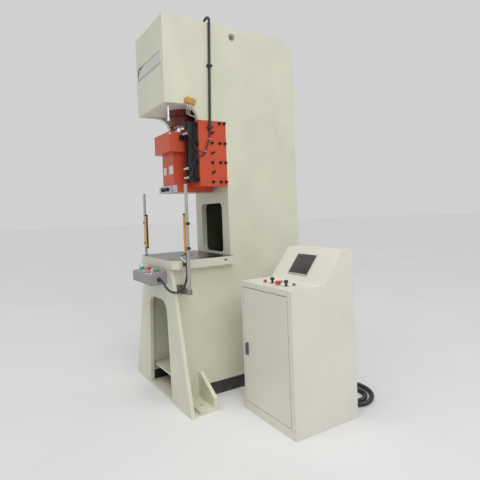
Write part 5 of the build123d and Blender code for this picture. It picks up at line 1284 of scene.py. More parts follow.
@dataclass(frozen=True)
class RibbedHose:
    """A corrugated conduit.

    Attributes:
        radius: Outer radius.
        pitch: Distance from one rib to the next.
        depth: Depth of the valley between two ribs.
        sides: Steps round the hose.
        samples: Rings from one rib to the next.
    """

    radius: float
    pitch: float
    depth: float
    sides: int = 14
    samples: int = 4

    def along(self, shape: Shape, line: list[Vector]) -> list[Vector]:
        """Adds the hose to a mesh.

        Args:
            shape: The mesh.
            line: Close points of its middle line.

        Returns:
            The points at which its rings stand.
        """
        path = even_steps(line, self.pitch / self.samples)
        radii = []
        for index in range(len(path)):
            wave = 0.5 - 0.5 * math.cos(2 * math.pi * index / self.samples)
            radii.append(self.radius - self.depth * wave)
        radii[0] = radii[-1] = self.radius
        shape.tube(path, radii, self.sides)
        return path


@dataclass(frozen=True)
class CableGland:
    """Screwed gland with a lock nut, a ribbed cap and a tapering sleeve over the conduit.

    Attributes:
        name: Name of the piece.
        seat: Middle of its seat on the housing.
        out: Direction away from the housing.
        bore: Radius of the conduit.
        body: Radius of the gland's body.
        length: Length of the body, up to where the conduit starts.
        sleeve: Length of the tapering sleeve.
    """

    name: str
    seat: Point
    out: Point
    bore: float
    body: float
    length: float
    sleeve: float

    def build(self, shop: Workshop) -> bpy.types.Object:
        """Makes the gland.

        Args:
            shop: Where finishes are kept.

        Returns:
            The piece.
        """
        shape = Shape()
        nut = self.body + 4.0
        nut_edge = [(nut - 1.2, 0.2), (nut, 1.4), (nut, 5.0), (nut - 1.4, 6.2)]
        shape.turned(nut_edge, self.seat, self.out, 48, flats=1.8 * nut)
        cap = self.body + 0.8
        cap_edge = [(cap, 5.5), (cap, self.length - 1.0), (cap - 1.5, self.length + 1.0)]
        shape.turned(cap_edge, self.seat, self.out, 48, ribs=0.5)
        tip = self.length + self.sleeve
        taper = [
            (self.bore + 0.15, self.length - 4.0),
            (self.body - 0.4, self.length - 4.0),
            (self.body - 0.9, self.length + 3.0),
            (self.bore + 2.4, self.length + self.sleeve * 0.5),
            (self.bore + 1.1, tip - 1.0),
            (self.bore + 0.15, tip),
        ]
        shape.turned(taper, self.seat, self.out, 40, hollow=True)
        return shape.finished(self.name, Finish.BLACK, shop)


@dataclass(frozen=True)
class Conduit:
    """One free conduit with the glands at its ends.

    Attributes:
        node: The plain solid that it stands for.
        hose: Its section and ribs.
        glands: The gland at each end.
        route: The points that control its line.
    """

    node: str
    hose: RibbedHose
    glands: tuple[CableGland, CableGland]
    route: tuple[Point, ...]

    def build(self, shop: Workshop) -> None:
        """Args:
            shop: Where finishes are kept.
        """
        pieces = [gland.build(shop) for gland in self.glands]
        shape = Shape()
        path = self.hose.along(shape, line_through(self.route))
        made = shape.finished(f"{self.node}_hose", Finish.HOSE, shop)
        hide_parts(self.node)


BOX_CONDUIT = Conduit(
    node="box_conduit",
    hose=RibbedHose(9.0, 3.6, 0.5, 16),
    glands=(
        CableGland("box_gland_sleeve", (218.0, -708.0, 982.0), RIGHT, 9.0, 14.0, 18.0, 26.0),
        CableGland("curtain_gland_sleeve", (420.0, -553.0, 1113.0), DOWN, 9.0, 14.0, 22.0, 24.0),
    ),
    route=(
        (236.0, -708.0, 982.0),
        (272.0, -708.0, 982.0),
        (304.0, -703.0, 962.0),
        (327.0, -694.0, 934.0),
        (345.0, -677.0, 907.0),
        (370.0, -652.0, 892.0),
        (398.0, -626.0, 896.0),
        (416.0, -600.0, 915.0),
        (423.0, -579.0, 946.0),
        (424.0, -564.0, 990.0),
        (420.0, -553.0, 1040.0),
        (420.0, -553.0, 1090.0),
    ),
)
FLOOR_CONDUIT = Conduit(
    node="floor_conduit",
    hose=RibbedHose(17.0, 6.4, 1.3, 14),
    glands=(
        CableGland("console_gland_sleeve", (870.0, 342.2, 105.0), REAR, 17.0, 22.0, 24.0, 30.0),
        CableGland("column_gland_sleeve", (90.0, 642.2, 58.0), REAR, 17.0, 22.0, 24.0, 30.0),
    ),
    route=(
        (870.0, 366.0, 105.0),
        (870.0, 430.0, 105.0),
        (869.0, 508.0, 80.0),
        (872.0, 588.0, 36.0),
        (936.0, 660.0, 17.5),
        (1035.0, 662.0, 17.5),
        (1106.0, 592.0, 17.5),
        (1108.0, 494.0, 17.5),
        (1040.0, 427.0, 17.5),
        (942.0, 424.0, 17.5),
        (855.0, 452.0, 17.5),
        (800.0, 524.0, 17.5),
        (786.0, 600.0, 17.5),
        (796.0, 668.0, 17.5),
        (834.0, 718.0, 17.5),
        (898.0, 744.0, 17.5),
        (980.0, 738.0, 17.5),
        (1057.0, 708.0, 17.5),
        (1117.0, 652.0, 17.5),
        (1158.0, 582.0, 17.5),
        (1168.0, 504.0, 17.5),
        (1128.0, 431.0, 17.5),
        (1052.0, 384.0, 17.5),
        (962.0, 368.0, 17.5),
        (875.0, 367.0, 17.5),
        (790.0, 380.0, 17.5),
        (712.0, 415.0, 17.5),
        (650.0, 472.0, 17.5),
        (610.0, 545.0, 17.5),
        (590.0, 628.0, 17.5),
        (545.0, 700.0, 17.5),
        (480.0, 755.0, 17.5),
        (400.0, 800.0, 17.5),
        (305.0, 832.0, 17.5),
        (215.0, 838.0, 22.0),
        (146.0, 805.0, 34.0),
        (106.0, 755.0, 50.0),
        (90.0, 708.0, 58.0),
        (90.0, 662.0, 58.0),
    ),
)


@dataclass
class Conduits:
    """The free conduits and the fittings that hold their ends.

    Attributes:
        laid: From the button box to the light curtain, and over the floor.
    """

    laid: tuple[Conduit, ...] = (BOX_CONDUIT, FLOOR_CONDUIT)

    def build(self, shop: Workshop) -> None:
        """Dresses the fittings and lays the conduits.

        Args:
            shop: Where finishes are kept.
        """
        shop.coat(Finish.FITTING, "cable_fittings")
        for conduit in self.laid:
            conduit.build(shop)


@dataclass(frozen=True)
class WeldBead:
    """Fillet weld, laid in short ripples under the paint.

    Attributes:
        leg: Radius of the bead.
        ripple: Length of one ripple.
        steps: Rings in one ripple.
        dip: How much thinner the bead gets in a ripple, as a share.
    """

    leg: float = 4.5
    ripple: float = 4.2
    steps: int = 3
    dip: float = 0.16

    def add(self, shape: Shape, start: Point, end: Point) -> None:
        """Adds a straight bead to a mesh.

        Args:
            shape: The mesh.
            start: One end of the corner that it fills.
            end: The other end.
        """
        path = even_steps([Vector(start), Vector(end)], self.ripple / self.steps)
        radii = []
        for index in range(len(path)):
            wave = abs(math.sin(math.pi * index / self.steps))
            radii.append(self.leg * (1.0 - self.dip * wave))
        radii[0] = radii[-1] = self.leg * 0.4
        shape.tube(path, radii, 8)

    def ring(self, shape: Shape, centre: Point, along: Point, radius: float) -> None:
        """Adds a bead round a tube's end.

        Args:
            shape: The mesh.
            centre: Middle of the tube's end.
            along: Axis of the tube.
            radius: Outer radius of the tube.
        """
        section = []
        for step in range(10):
            angle = 2 * math.pi * step / 10
            section.append((radius + self.leg * math.cos(angle), self.leg * 0.8 * math.sin(angle)))
        shape.turned(section, centre, along, 72, ribs=0.35, hollow=True)


@dataclass
class ColumnFrame:
    """Welded frame with its enamel, weld beads, table and bare name plate.

    Attributes:
        corner_top: Upper end of the pedestal's corner welds.
        gusset_y: Front and back of the front feet's gussets.
        gusset_x: Start and end of the weld between pad and gusset.
        gusset_foot: Lower end of the weld between gusset and side plate.
        pad_top: Top of the feet's pads.
        rib_foot_y: Where the rib's slope starts on the pad.
        weld_gap: How far a weld stops short of an edge.
        plate_x: Left and right edge of the name plate.
        plate_z: Its lower and upper edge.
        plate_thickness: Its thickness.
        border_inset: Distance from the name plate's edge to its border.
        border_width: Width of the border.
        rivet_inset: Distance from the name plate's edge to its rivets.
        fillet: Bead of the frame's corners.
        tube_fillet: Bead round the lifting tube.
    """

    corner_top: float = 1026.0
    gusset_y: tuple[float, float] = (-445.0, -415.0)
    gusset_x: tuple[float, float] = (331.0, 566.0)
    gusset_foot: float = 4.0
    pad_top: float = 30.0
    rib_foot_y: float = -545.0
    weld_gap: float = 3.0
    plate_x: tuple[float, float] = (-265.0, 265.0)
    plate_z: tuple[float, float] = (2677.0, 2785.0)
    plate_thickness: float = 3.0
    border_inset: float = 5.0
    border_width: float = 3.0
    rivet_inset: float = 15.0
    fillet: WeldBead = WeldBead()
    tube_fillet: WeldBead = WeldBead(3.2)

    def build(self, shop: Workshop) -> None:
        """Paints the frame and adds what is welded and screwed to it.

        Args:
            shop: Where finishes are kept.
        """
        shop.coat(Finish.FRAME, "right_side_plate", "left_side_plate", "pedestal_front_plate", "base_plate")
        shop.coat(Finish.FRAME, "head_box", "column_box", "back_plate", "back_cover", "anchor_feet")
        shop.coat(Finish.LIFTING, "lifting_tube")
        shop.coat(Finish.PLINTH, "plinth_rails")
        shop.coat(Finish.TABLE, "work_table")
        self.weld(shop)
        self.fix_name_plate(shop)
        self.frame_name_plate(shop)
        self.rivet_name_plate(shop)

    def weld(self, shop: Workshop) -> None:
        """Lays the beads of the feet, of the pedestal's corners and of the lifting tube.

        Args:
            shop: Where finishes are kept.
        """
        shape = Shape()
        side_x = shop.high("right_side_plate").x
        corner_y = shop.high("pedestal_front_plate").y
        foot = shop.high("plinth_rails").z + self.weld_gap
        gusset_top = shop.high("anchor_feet").z - self.weld_gap
        tube = shop.middle("lifting_tube")
        tube_radius = shop.high("lifting_tube").z - tube.z
        for side in (-1.0, 1.0):
            x = side * side_x
            self.fillet.add(shape, (x, corner_y, foot), (x, corner_y, self.corner_top))
            for end in (-1.0, 1.0):
                self.weld_foot(shape, x, end, gusset_top)
            self.tube_fillet.ring(shape, (x, tube.y, tube.z), (side, 0.0, 0.0), tube_radius)
        shape.finished("frame_welds", Finish.FRAME, shop)

    def weld_foot(self, shape: Shape, x: float, end: float, top: float) -> None:
        """Adds one foot's beads to a mesh.

        Args:
            shape: The mesh.
            x: Face of the side plate that the foot stands at.
            end: -1 for the front feet, 1 for the rear ones, which mirror them.
            top: Upper end of the weld between gusset and side plate.
        """
        front, back = (-end * value for value in self.gusset_y)
        inner, outer = (math.copysign(value, x) for value in self.gusset_x)
        self.fillet.add(shape, (inner, front, self.pad_top), (outer, front, self.pad_top))
        self.fillet.add(shape, (x, back, self.gusset_foot), (x, back, top))
        self.fillet.add(shape, (x, -end * self.rib_foot_y, self.pad_top), (x, front, top))

    def plate_corners(self, shop: Workshop) -> tuple[Point, Point]:
        """Places the name plate on the head's front.

        Args:
            shop: Where the frame is kept.

        Returns:
            The plate's lowest and highest corner.
        """
        front = shop.low("head_box").y
        (left, right), (low, high) = self.plate_x, self.plate_z
        return (left, front - self.plate_thickness, low), (right, front, high)

    def fix_name_plate(self, shop: Workshop) -> None:
        """Adds the polished plate on the head, left bare.

        Args:
            shop: Where finishes are kept.
        """
        plate = Shape()
        plate.block(*self.plate_corners(shop), 0.8)
        plate.finished("head_plate", Finish.PLATE, shop)

    def frame_name_plate(self, shop: Workshop) -> None:
        """Adds the name plate's raised border.

        Args:
            shop: Where finishes are kept.
        """
        (left, face, low), (right, _, high) = self.plate_corners(shop)
        inset, width = self.border_inset, self.border_width
        front, back = face - 0.4, face + 0.2
        border = Shape()
        for z in (low + inset, high - inset - width):
            border.block((left + inset, front, z), (right - inset, back, z + width), 0.15)
        foot, top = low + inset + width, high - inset - width
        for x in (left + inset, right - inset - width):
            border.block((x, front, foot), (x + width, back, top), 0.15)
        border.finished("head_plate_border", Finish.OXIDE, shop)

    def rivet_name_plate(self, shop: Workshop) -> None:
        """Adds a rivet at each corner of the name plate.

        Args:
            shop: Where finishes are kept.
        """
        (left, face, low), (right, _, high) = self.plate_corners(shop)
        dome = [(4.2, 0.0), (4.2, 0.5), (3.6, 1.4), (2.2, 2.1), (0.6, 2.4)]
        rivets = Shape()
        for x in (left + self.rivet_inset, right - self.rivet_inset):
            for z in (low + self.rivet_inset, high - self.rivet_inset):
                rivets.turned(dome, (x, face, z), FRONT, 20)
        rivets.finished("head_plate_rivets", Finish.STEEL, shop)


@dataclass
class GuidedSlide:
    """The slide, its guides, its clamp and the cylinder above it.

    Attributes:
        labels: Left, right, lower and upper edge of each bare label on the slide.
        label_thickness: Thickness of a label.
        pin_inset: Distance from a label's edge to its drive pins.
        pointer: Corners of the pointer on the nose's right face, as Y and Z.
    """

    labels: tuple[tuple[float, float, float, float], ...] = (
        (-97.0, -35.0, 1830.0, 1894.0),
        (24.0, 112.0, 1828.0, 1898.0),
    )
    label_thickness: float = 0.8
    pin_inset: float = 5.0
    pointer: tuple[tuple[float, float], ...] = ((-553.0, 2163.0), (-553.0, 2143.0), (-530.0, 2153.0))

    def build(self, shop: Workshop) -> None:
        """Dresses the moving and the fixed half of the guide, and the cylinder.

        Args:
            shop: Where finishes are kept.
        """
        shop.coat(Finish.GUIDE, "right_guide_block", "left_guide_block")
        shop.coat(Finish.SLIDE, "slide_body")
        shop.coat(Finish.BRONZE, "guide_liners")
        shop.coat(Finish.OXIDE, "guide_screws", "slide_screws", "trigger_cam")
        shop.coat(Finish.CLAMP, "tool_clamp")
        shop.coat(Finish.CHROME, "piston_rod")
        shop.coat(Finish.CYLINDER, "cylinder_barrel", "cylinder_ring_nut")
        shop.coat(Finish.STEEL, "cylinder_gland", "valve_block", "oil_pipes")
        shop.coat(Finish.GREY_WITH_PAINTED_SHADE, "oil_tank")
        shop.coat(Finish.MOTOR, "pump_motor")
        self.fix_labels(shop)
        self.fix_pointer(shop)

    def fix_labels(self, shop: Workshop) -> None:
        """Adds two bare labels, each a thin plate with four drive pins.

        Args:
            shop: Where finishes are kept.
        """
        pin = [(2.0, 0.0), (1.9, 0.7), (1.2, 1.2), (0.4, 1.4)]
        front = shop.high("tool_clamp").y
        face = front - self.label_thickness
        shape = Shape()
        for left, right, low, high in self.labels:
            shape.block((left, face, low), (right, front, high), 0.3)
            for x in (left + self.pin_inset, right - self.pin_inset):
                for z in (low + self.pin_inset, high - self.pin_inset):
                    shape.turned(pin, (x, face, z), FRONT, 14)
        shape.finished("slide_labels", Finish.LABEL, shop, Body.SLIDE)

    def fix_pointer(self, shop: Workshop) -> None:
        """Adds the small white pointer at the nose's upper front corner.

        Args:
            shop: Where finishes are kept.
        """
        nose_x = shop.low("trigger_cam").x
        middle_y = sum(y for y, _ in self.pointer) / len(self.pointer)
        middle_z = sum(z for _, z in self.pointer) / len(self.pointer)
        rings = []
        for x, share in ((nose_x - 0.1, 1.0), (nose_x + 1.1, 1.0), (nose_x + 1.5, 0.86)):
            middle = Vector((x, middle_y, middle_z))
            rings.append([middle.lerp(Vector((x, y, z)), share) for y, z in self.pointer])
        shape = Shape()
        shape.skin(rings)
        shape.finished("slide_pointer", Finish.WHITE, shop, Body.SLIDE)


@dataclass
class StrokeSensing:
    """Rail with three threaded sensors, and their wiring down the machine's side.

    Attributes:
        centre_y: Height of the sensors' axes along Y.
        rows_z: Their heights.
        ends_x: Both ends of a sensor.
        nuts_x: Where its nuts start.
        radius: Radius of the thread.
        thread_pitch: Distance from one crest of the thread to the next.
        nut_radius: Radius of a nut's corners.
        nut_height: Height of a nut.
        hose: Section and ribs of the conduit.
        conduit: Route of the conduit.
        cable: Route of the cable below it.
        cable_radius: Radius of the cable.
        lead_radius: Radius of a sensor's lead.
    """

    centre_y: float = -444.0
    rows_z: tuple[float, float, float] = (1783.0, 1857.0, 2142.0)
    ends_x: tuple[float, float] = (199.0, 292.0)
    nuts_x: tuple[float, float] = (211.0, 265.0)
    radius: float = 8.0
    thread_pitch: float = 1.6
    nut_radius: float = 13.0
    nut_height: float = 8.0
    hose: RibbedHose = RibbedHose(11.0, 4.6, 0.8, 16)
    conduit: tuple[Point, ...] = (
        (225.0, -228.0, 3022.0),
        (225.0, -228.0, 3050.0),
        (225.0, -228.0, 3110.0),
        (323.0, -228.0, 3110.0),
        (323.0, -231.0, 3018.0),
        (323.0, -241.5, 2700.0),
        (323.0, -258.2, 2192.0),
        (323.0, -259.0, 2168.0),
    )
    cable: tuple[Point, ...] = (
        (323.0, -258.5, 2180.0),
        (323.0, -260.3, 2128.0),
        (323.0, -277.0, 2068.0),
        (323.0, -313.0, 1981.0),
    )
    cable_radius: float = 6.0
    lead_radius: float = 3.0

    def build(self, shop: Workshop) -> None:
        """Dresses rail, sensors, wiring and lubrication.

        Args:
            shop: Where finishes are kept.
        """
        shop.coat(Finish.RAIL, "sensor_rail")
        shop.coat(Finish.BRASS, "lube_distributor")
        shop.coat(Finish.TUBE, "lube_tubes")
        self.mount_sensors(shop)
        self.run_conduit(shop)
        self.run_leads(shop)
        self.tie_cable(shop)

    def thread(self) -> Profile:
        """Works out the profile of a sensor's threaded barrel.

        Returns:
            Pairs of radius and X.
        """
        first, last = self.ends_x
        crest = first + 2.0
        profile = [(self.radius - 1.1, first + 0.9), (self.radius - 0.5, crest)]
        while crest < last - 8.0:
            profile.append((self.radius, crest + self.thread_pitch / 2))
            profile.append((self.radius - 0.6, crest + self.thread_pitch))
            crest += self.thread_pitch
        profile.append((self.radius - 1.4, last - 6.0))
        return profile

    def nut(self, start: float) -> Profile:
        """Works out the profile of a nut with bevelled corners.

        Args:
            start: X at which the nut starts.

        Returns:
            Pairs of radius and X.
        """
        rim, end = self.nut_radius, start + self.nut_height
        return [(rim - 1.4, start), (rim, start + 1.3), (rim, end - 1.3), (rim - 1.4, end)]

    def mount_sensors(self, shop: Workshop) -> None:
        """Makes the sensors with thread, nuts, sensing face and cable end.

        Args:
            shop: Where finishes are kept.
        """
        first, last = self.ends_x
        rim = self.radius - 0.7
        cap = [(rim - 0.5, first), (rim, first + 0.5), (rim, first + 1.6)]
        boot = [(rim - 0.3, last - 7.0), (rim - 0.5, last - 2.6), (4.6, last - 0.4), (3.6, last)]
        barrels, faces, ends = Shape(), Shape(), Shape()
        for z in self.rows_z:
            origin = (0.0, self.centre_y, z)
            barrels.turned(self.thread(), origin, RIGHT, 20)
            for x in self.nuts_x:
                barrels.turned(self.nut(x), origin, RIGHT, 48, flats=self.nut_radius * 1.76)
            faces.turned(cap, origin, RIGHT, 24)
            ends.turned(boot, origin, RIGHT, 24)
        made = barrels.finished("sensor_barrels", Finish.STEEL, shop)
        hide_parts("proximity_sensors")
        faces.finished("sensor_faces", Finish.BLUE, shop)
        ends.finished("sensor_boots", Finish.BLACK, shop)

    def run_conduit(self, shop: Workshop) -> None:
        """Makes the ribbed conduit and the mouth that the cable leaves it by.

        Args:
            shop: Where finishes are kept.
        """
        shape = Shape()
        self.hose.along(shape, line_through(self.conduit))
        mouth = [(7.0, -3.0), (11.9, -3.0), (11.9, 7.0), (10.9, 8.5), (6.2, 8.5)]
        shape.turned(mouth, self.conduit[-1], (0.0, 0.03, 1.0), 28, hollow=True)
        made = shape.finished("side_conduit_hose", Finish.HOSE, shop)
        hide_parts("sensor_wiring")

    def run_leads(self, shop: Workshop) -> None:
        """Makes the cable out of the conduit and the lead to each sensor.

        Args:
            shop: Where finishes are kept.
        """
        shape = Shape()
        trunk = line_through(self.cable, 16)
        shape.tube(trunk, [self.cable_radius] * len(trunk), 14)
        x, y, joint_z = self.cable[-1]
        for row, z in enumerate(self.rows_z, -1):
            rise = z - joint_z
            route = (
                (x, y + 4.0, joint_z - 2.0 + row * 2.0),
                (x, y - 2.0, joint_z - 9.0 + row * 6.6),
                (x, -351.0, joint_z + rise / 8 - 8.0),
                (303.0, -384.0, joint_z + rise / 5),
                (290.0, -418.0, z - rise / 4),
                (306.0, self.centre_y, z),
                (self.ends_x[1] - 1.0, self.centre_y, z),
            )
            lead = line_through(route, 14)
            shape.tube(lead, [self.lead_radius] * len(lead), 10)
        shape.finished("sensor_leads", Finish.CABLE, shop)

    def tie_cable(self, shop: Workshop) -> None:
        """Ties the cable in two places.

        Args:
            shop: Where finishes are kept.
        """
        x, y, z = self.cable[-1]
        ties = Shape()
        self.tie(ties, (x, y + 5.0, z + 12.0), (0.0, -0.38, -0.92), self.cable_radius + 1.0)
        self.tie(ties, (x, -268.0, 2098.0), (0.0, -0.27, -0.96), self.cable_radius + 0.4)
        ties.finished("sensor_ties", Finish.PALE, shop)

    def tie(self, shape: Shape, place: Point, along: Point, radius: float) -> None:
        """Adds a cable tie with its lock to a mesh.

        Args:
            shape: The mesh.
            place: Middle of the tie.
            along: Direction of the cable there.
            radius: Inner radius of the tie.
        """
        band = [(radius - 0.6, -1.8), (radius + 1.0, -1.8), (radius + 1.0, 1.8), (radius - 0.6, 1.8)]
        shape.turned(band, place, along, 28, hollow=True)
        lock = Vector(place) + Vector((radius + 1.6, 0.0, 0.0))
        half = Vector((1.8, 2.6, 2.6))
        shape.block(tuple(lock - half), tuple(lock + half), 0.5)


@dataclass
class LightCurtain:
    """Two light bars on posts at the table's front corners.

    Attributes:
        window_x: Face of the bar's recess.
        window_inset: Distance from a bar's ends to its recess.
        knob_length: Length of a clamp's knob.
        knob_inset: How much less a knob stands out than its clamp's screw.
        knob_rows: Heights of the knobs.
        signal_z: Height of the left bar's signal lamp.
    """

    window_x: float = 419.0
    window_inset: float = 14.4
    knob_length: float = 15.0
    knob_inset: float = 0.5
    knob_rows: tuple[float, float] = (1231.0, 1418.0)
    signal_z: float = 1209.0

    def build(self, shop: Workshop) -> None:
        """Dresses posts, bars and brackets.

        Args:
            shop: Where finishes are kept.
        """
        shop.coat(Finish.POST, "curtain_posts")
        shop.coat(Finish.ORANGE, "curtain_bars")
        shop.coat(Finish.BRACKET, "curtain_brackets")
        self.glaze_bars(shop)
        self.fit_knobs(shop)
        self.fit_signal(shop)

    def glaze_bars(self, shop: Workshop) -> None:
        """Adds the dark window in each bar's recess.

        Args:
            shop: Where finishes are kept.
        """
        shape = Shape()
        y = shop.middle("curtain_posts").y
        bottom = shop.low("curtain_bars").z + self.window_inset
        top = shop.high("curtain_bars").z - self.window_inset
        for side in (-1.0, 1.0):
            left, right = sorted((side * (self.window_x - 1.3), side * (self.window_x + 0.2)))
            shape.block((left, y - 6.6, bottom), (right, y + 6.6, top), 0.3)
        shape.finished("curtain_windows", Finish.WINDOW, shop)

    def fit_knobs(self, shop: Workshop) -> None:
        """Adds the clamps' knurled knobs with their steel inserts.

        Args:
            shop: Where finishes are kept.
        """
        y = shop.middle("curtain_posts").y
        end = shop.high("curtain_brackets").x - self.knob_inset
        start = end - self.knob_length
        grip = [(8.9, start), (9.7, start + 0.8), (9.7, end - 1.6), (8.4, end)]
        tip = [(5.0, end - 0.4), (4.6, end + 0.35), (2.0, end + 0.45)]
        knobs, inserts = Shape(), Shape()
        for side in (-1.0, 1.0):
            for z in self.knob_rows:
                knobs.turned(grip, (0.0, y, z), (side, 0.0, 0.0), 44, ribs=0.7)
                inserts.turned(tip, (0.0, y, z), (side, 0.0, 0.0), 24)
        knobs.finished("curtain_knobs", Finish.BLACK, shop)
        inserts.finished("curtain_knob_inserts", Finish.STEEL, shop)

    def fit_signal(self, shop: Workshop) -> None:
        """Adds the left bar's signal lamp.

        Args:
            shop: Where finishes are kept.
        """
        shape = Shape()
        lens = [(2.6, 0.0), (2.5, 0.3), (1.6, 0.6), (0.5, 0.7)]
        spot = (-self.window_x + 1.25, shop.middle("curtain_posts").y, self.signal_z)
        shape.turned(lens, spot, RIGHT, 20)
        shape.finished("curtain_signal", Finish.SIGNAL, shop)


@dataclass
class ButtonBox:
    """Two-hand button box under the table's front.

    Places on the lid are X and the distance from its back edge.

    Attributes:
        lid_drop: How much lower the lid is at its front than at its back.
        lamps: Places of the lamps.
        lamp_height: Height of the lamps' lenses above the lid.
        screw_inset: Distance of the lid's screws from the sides, and from front and back.
        large: Places of the three large buttons.
        small: Places of the three small buttons.
        collar_radii: Radius of a large and of a small button's collar.
    """

    lid_drop: float = 26.0
    lamps: tuple[tuple[float, float], ...] = ((0.0, 106.0), (165.0, 108.0))
    lamp_height: float = 9.6
    screw_inset: tuple[float, float] = (10.0, 12.0)
    large: tuple[tuple[float, float], ...] = ((-125.0, 80.0), (172.0, 56.0), (-12.0, 58.0))
    small: tuple[tuple[float, float], ...] = ((62.0, 60.0), (118.0, 60.0), (112.0, 106.0))
    collar_radii: tuple[float, float] = (18.0, 14.0)

    def on_lid(
        self, shop: Workshop, place: tuple[float, float], lift: float = 0.0
    ) -> tuple[Vector, Vector]:
        """A place on the sloping lid.

        Args:
            shop: Where the frame is kept.
            place: X and distance from the back edge.
            lift: Height above the lid, square to it.

        Returns:
            The place and the direction square to the lid.
        """
        back = shop.high("button_box")
        fall = self.lid_drop / (back.y - shop.low("button_box").y)
        out = Vector((0.0, -fall, 1.0)).normalized()
        spot = Vector((place[0], back.y - place[1], back.z - place[1] * fall))
        return spot + out * lift, out

    def build(self, shop: Workshop) -> None:
        """Dresses box and buttons.

        Args:
            shop: Where finishes are kept.
        """
        shop.coat(Finish.GREY_WITH_PAINTED_SHADE, "button_box")
        shop.coat(Finish.STEEL, "box_collars")
        shop.coat(Finish.GREEN, "left_palm_button", "right_palm_button", "box_green_button")
        shop.coat(Finish.RED, "box_stop_button", "box_red_button")
        shop.coat(Finish.WHITE, "box_white_button")
        self.fit_lenses(shop)
        self.screw_lid(shop)
        self.fit_collar_nuts(shop)

    def fit_lenses(self, shop: Workshop) -> None:
        """Adds the lamps' lenses.

        Args:
            shop: Where finishes are kept.
        """
        shape = Shape()
        for place in self.lamps:
            spot, out = self.on_lid(shop, place, self.lamp_height)
            shape.turned([(8.4, 0.0), (8.2, 0.8), (6.4, 1.9), (3.2, 2.5), (0.8, 2.7)], spot, out, 32)
        shape.finished("box_lamp_lenses", Finish.LAMP, shop)

    def screw_lid(self, shop: Workshop) -> None:
        """Adds the lid's screws.

        Args:
            shop: Where finishes are kept.
        """
        shape = Shape()
        inset_x, inset_y = self.screw_inset
        x = shop.high("button_box").x - inset_x
        depth = shop.high("button_box").y - shop.low("button_box").y
        for place in ((-x, inset_y), (x, inset_y), (-x, depth - inset_y), (x, depth - inset_y)):
            spot, out = self.on_lid(shop, place)
            shape.turned([(4.6, -0.3), (4.6, 1.2), (3.6, 2.4), (2.0, 2.6), (1.8, 1.2)], spot, out, 24)
        shape.finished("box_lid_screws", Finish.STEEL, shop)

    def fit_collar_nuts(self, shop: Workshop) -> None:
        """Adds a fluted nut at the foot of each button's collar.

        Args:
            shop: Where finishes are kept.
        """
        shape = Shape()
        for places, radius in zip((self.large, self.small), self.collar_radii):
            bore, rim = radius - 1.0, radius + 1.6
            section = [(bore, -0.2), (rim, -0.2), (rim, 1.4), (rim - 1.0, 2.4), (bore, 2.4)]
            for place in places:
                spot, out = self.on_lid(shop, place)
                shape.turned(section, spot, out, 48, ribs=0.3, hollow=True)
        shape.finished("box_collar_nuts", Finish.STEEL, shop)


